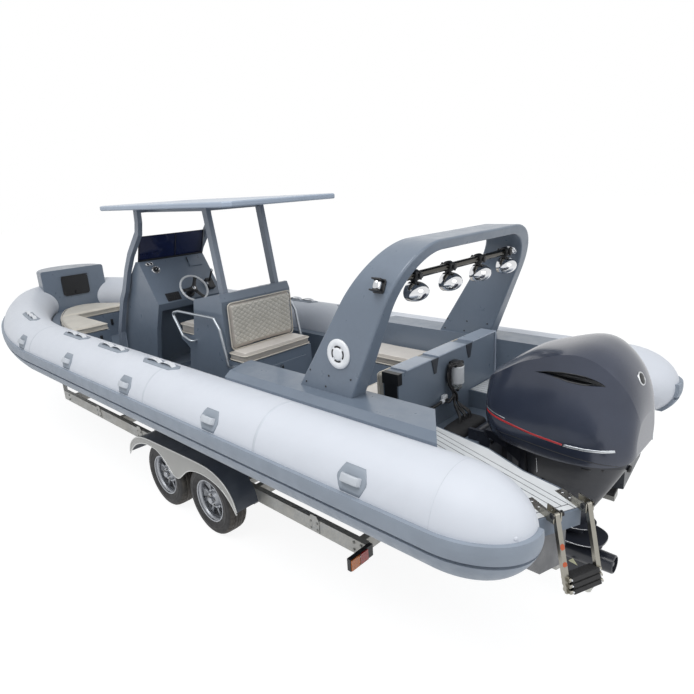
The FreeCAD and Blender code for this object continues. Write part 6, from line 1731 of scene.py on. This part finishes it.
FENDER_TOP = [(1.418, 0.400), (1.380, 0.485), (1.320, 0.550), (1.230, 0.606), (1.110, 0.645), (0.930, 0.664),
              (0.740, 0.671),
              (0.500, 0.679), (0.260, 0.686), (0.020, 0.690), (-0.120, 0.680), (-0.250, 0.642),
              (-0.350, 0.580),
              (-0.415, 0.500), (-0.450, 0.395)]
FENDER_LOW = [(1.420, 0.375), (1.345, 0.455), (1.250, 0.525), (1.130, 0.575), (1.000, 0.602), (0.850, 0.602),
              (0.760, 0.578), (0.680, 0.530), (0.610, 0.470), (0.550, 0.425), (0.490, 0.405), (0.430, 0.420),
              (0.365, 0.470), (0.280, 0.535), (0.165, 0.580), (0.040, 0.598), (-0.100, 0.592),
              (-0.230, 0.562),
              (-0.310, 0.520), (-0.385, 0.455), (-0.450, 0.370)]


def level_at(line, x):
    for (x0, z0), (x1, z1) in zip(line, line[1:]):
        if x1 <= x <= x0:
            return z1 + (z0 - z1) * (x - x1) / (x0 - x1)
    return line[-1][1]


def fender_line(line):
    return [(point.x, point.z) for point in smooth_line([(x, 0, z) for x, z in line], 5)]


def mudguards():
    """Pressed skin with a rolled outer edge over each pair of wheels, and its stays."""
    build = Build()
    top, low = fender_line(FENDER_TOP), fender_line(FENDER_LOW)
    for side in SIDES:
        rings = []
        for x, high in top:
            x = max(x, -0.4499)
            foot = min(level_at(low, x), high - 0.016)
            section = [(0.908, high), (1.126, high), (1.135, high - 0.003), (1.140, high - 0.012),
                       (1.140, foot),
                       (1.136, foot), (1.136, high - 0.013), (1.124, high - 0.004), (0.908, high - 0.004)]
            rings.append([place(x, y * side, z) for y, z in section])
        build.rings(rings)
        for stay in (-0.320, 0.385, 1.250):
            reach = level_at(top, stay) - 0.002
            build.prism([(-0.025, 0.400), (0.025, 0.400), (0.025, reach), (-0.025, reach)],
                        place(stay, side * 0.9035, 0), (1, 0, 0), (0, 0, 1), -0.0045 * side)
        for x in (0.372, 0.398):
            rib = place(x, side * 1.02, level_at(top, x) + 0.0005)
            half = Vector((0.002, 0.105, 0.0015))
            build.block(rib - half, rib + half, 0.0008)
    item = add("mudguard_skins", build, "mudguard")
    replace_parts(item, "mudguards")
    item.modifiers.new("sharp", "EDGE_SPLIT").split_angle = math.radians(40)


def trailer_trim():
    """Rolled edges of the mudguards, and the bolts and joint plates of the frame."""
    edge, bolts, plates = Build(), Build(), Build()
    rail = Surface("trailer_frame")
    washer_and_nut = [(-0.001, 0.015), (0.002, 0.015), (0.003, 0.010), (0.010, 0.010), (0.011, 0.004)]
    plate = [(-0.055, 0.385), (0.055, 0.385), (0.055, 0.495), (0.030, 0.530), (-0.030, 0.530),
             (-0.055, 0.495)]
    for side in SIDES:
        for line in (FENDER_TOP, FENDER_LOW):
            edge.pipe([place(x, 1.1385 * side, z) for x, z in fender_line(line)], 0.0065, 10)
        spots = [(x, z) for x in (-1.630, -1.560, -1.180, -1.110, 1.620, 1.690, 2.650, 2.720, 3.600)
                 for z in (0.410, 0.470)]
        for spot, normal in rail.hits([place(x, side * 1.6, z) for x, z in spots], (0, -side, 0)):
            if abs(spot.y) < 1.0:
                bolts.lathe(washer_and_nut, spot, normal, 6)
        for x in (-1.145, 1.655, 2.685):
            for spot, _ in rail.hits([place(x, side * 1.6, 0.44)], (0, -side, 0)):
                if abs(spot.y) < 1.0:
                    plates.prism(plate, place(x, spot.y + side * 0.0004, 0), (1, 0, 0), (0, 0, 1),
                                 -0.005 * side)
        for z in (0.4185, 0.4795):
            bolts.lathe([(-0.001, 0.006), (0.003, 0.006), (0.004, 0.002)], place(-1.7133, side * 1.0, z),
                        (-1, 0, 0), 12)
    add("mudguard_edges", edge, "edge")
    add("trailer_bolts", bolts, "bolt", smooth=False)
    add("trailer_plates", plates, "zinc", smooth=False, bevel=0.001)


mudguards()
trailer_trim()
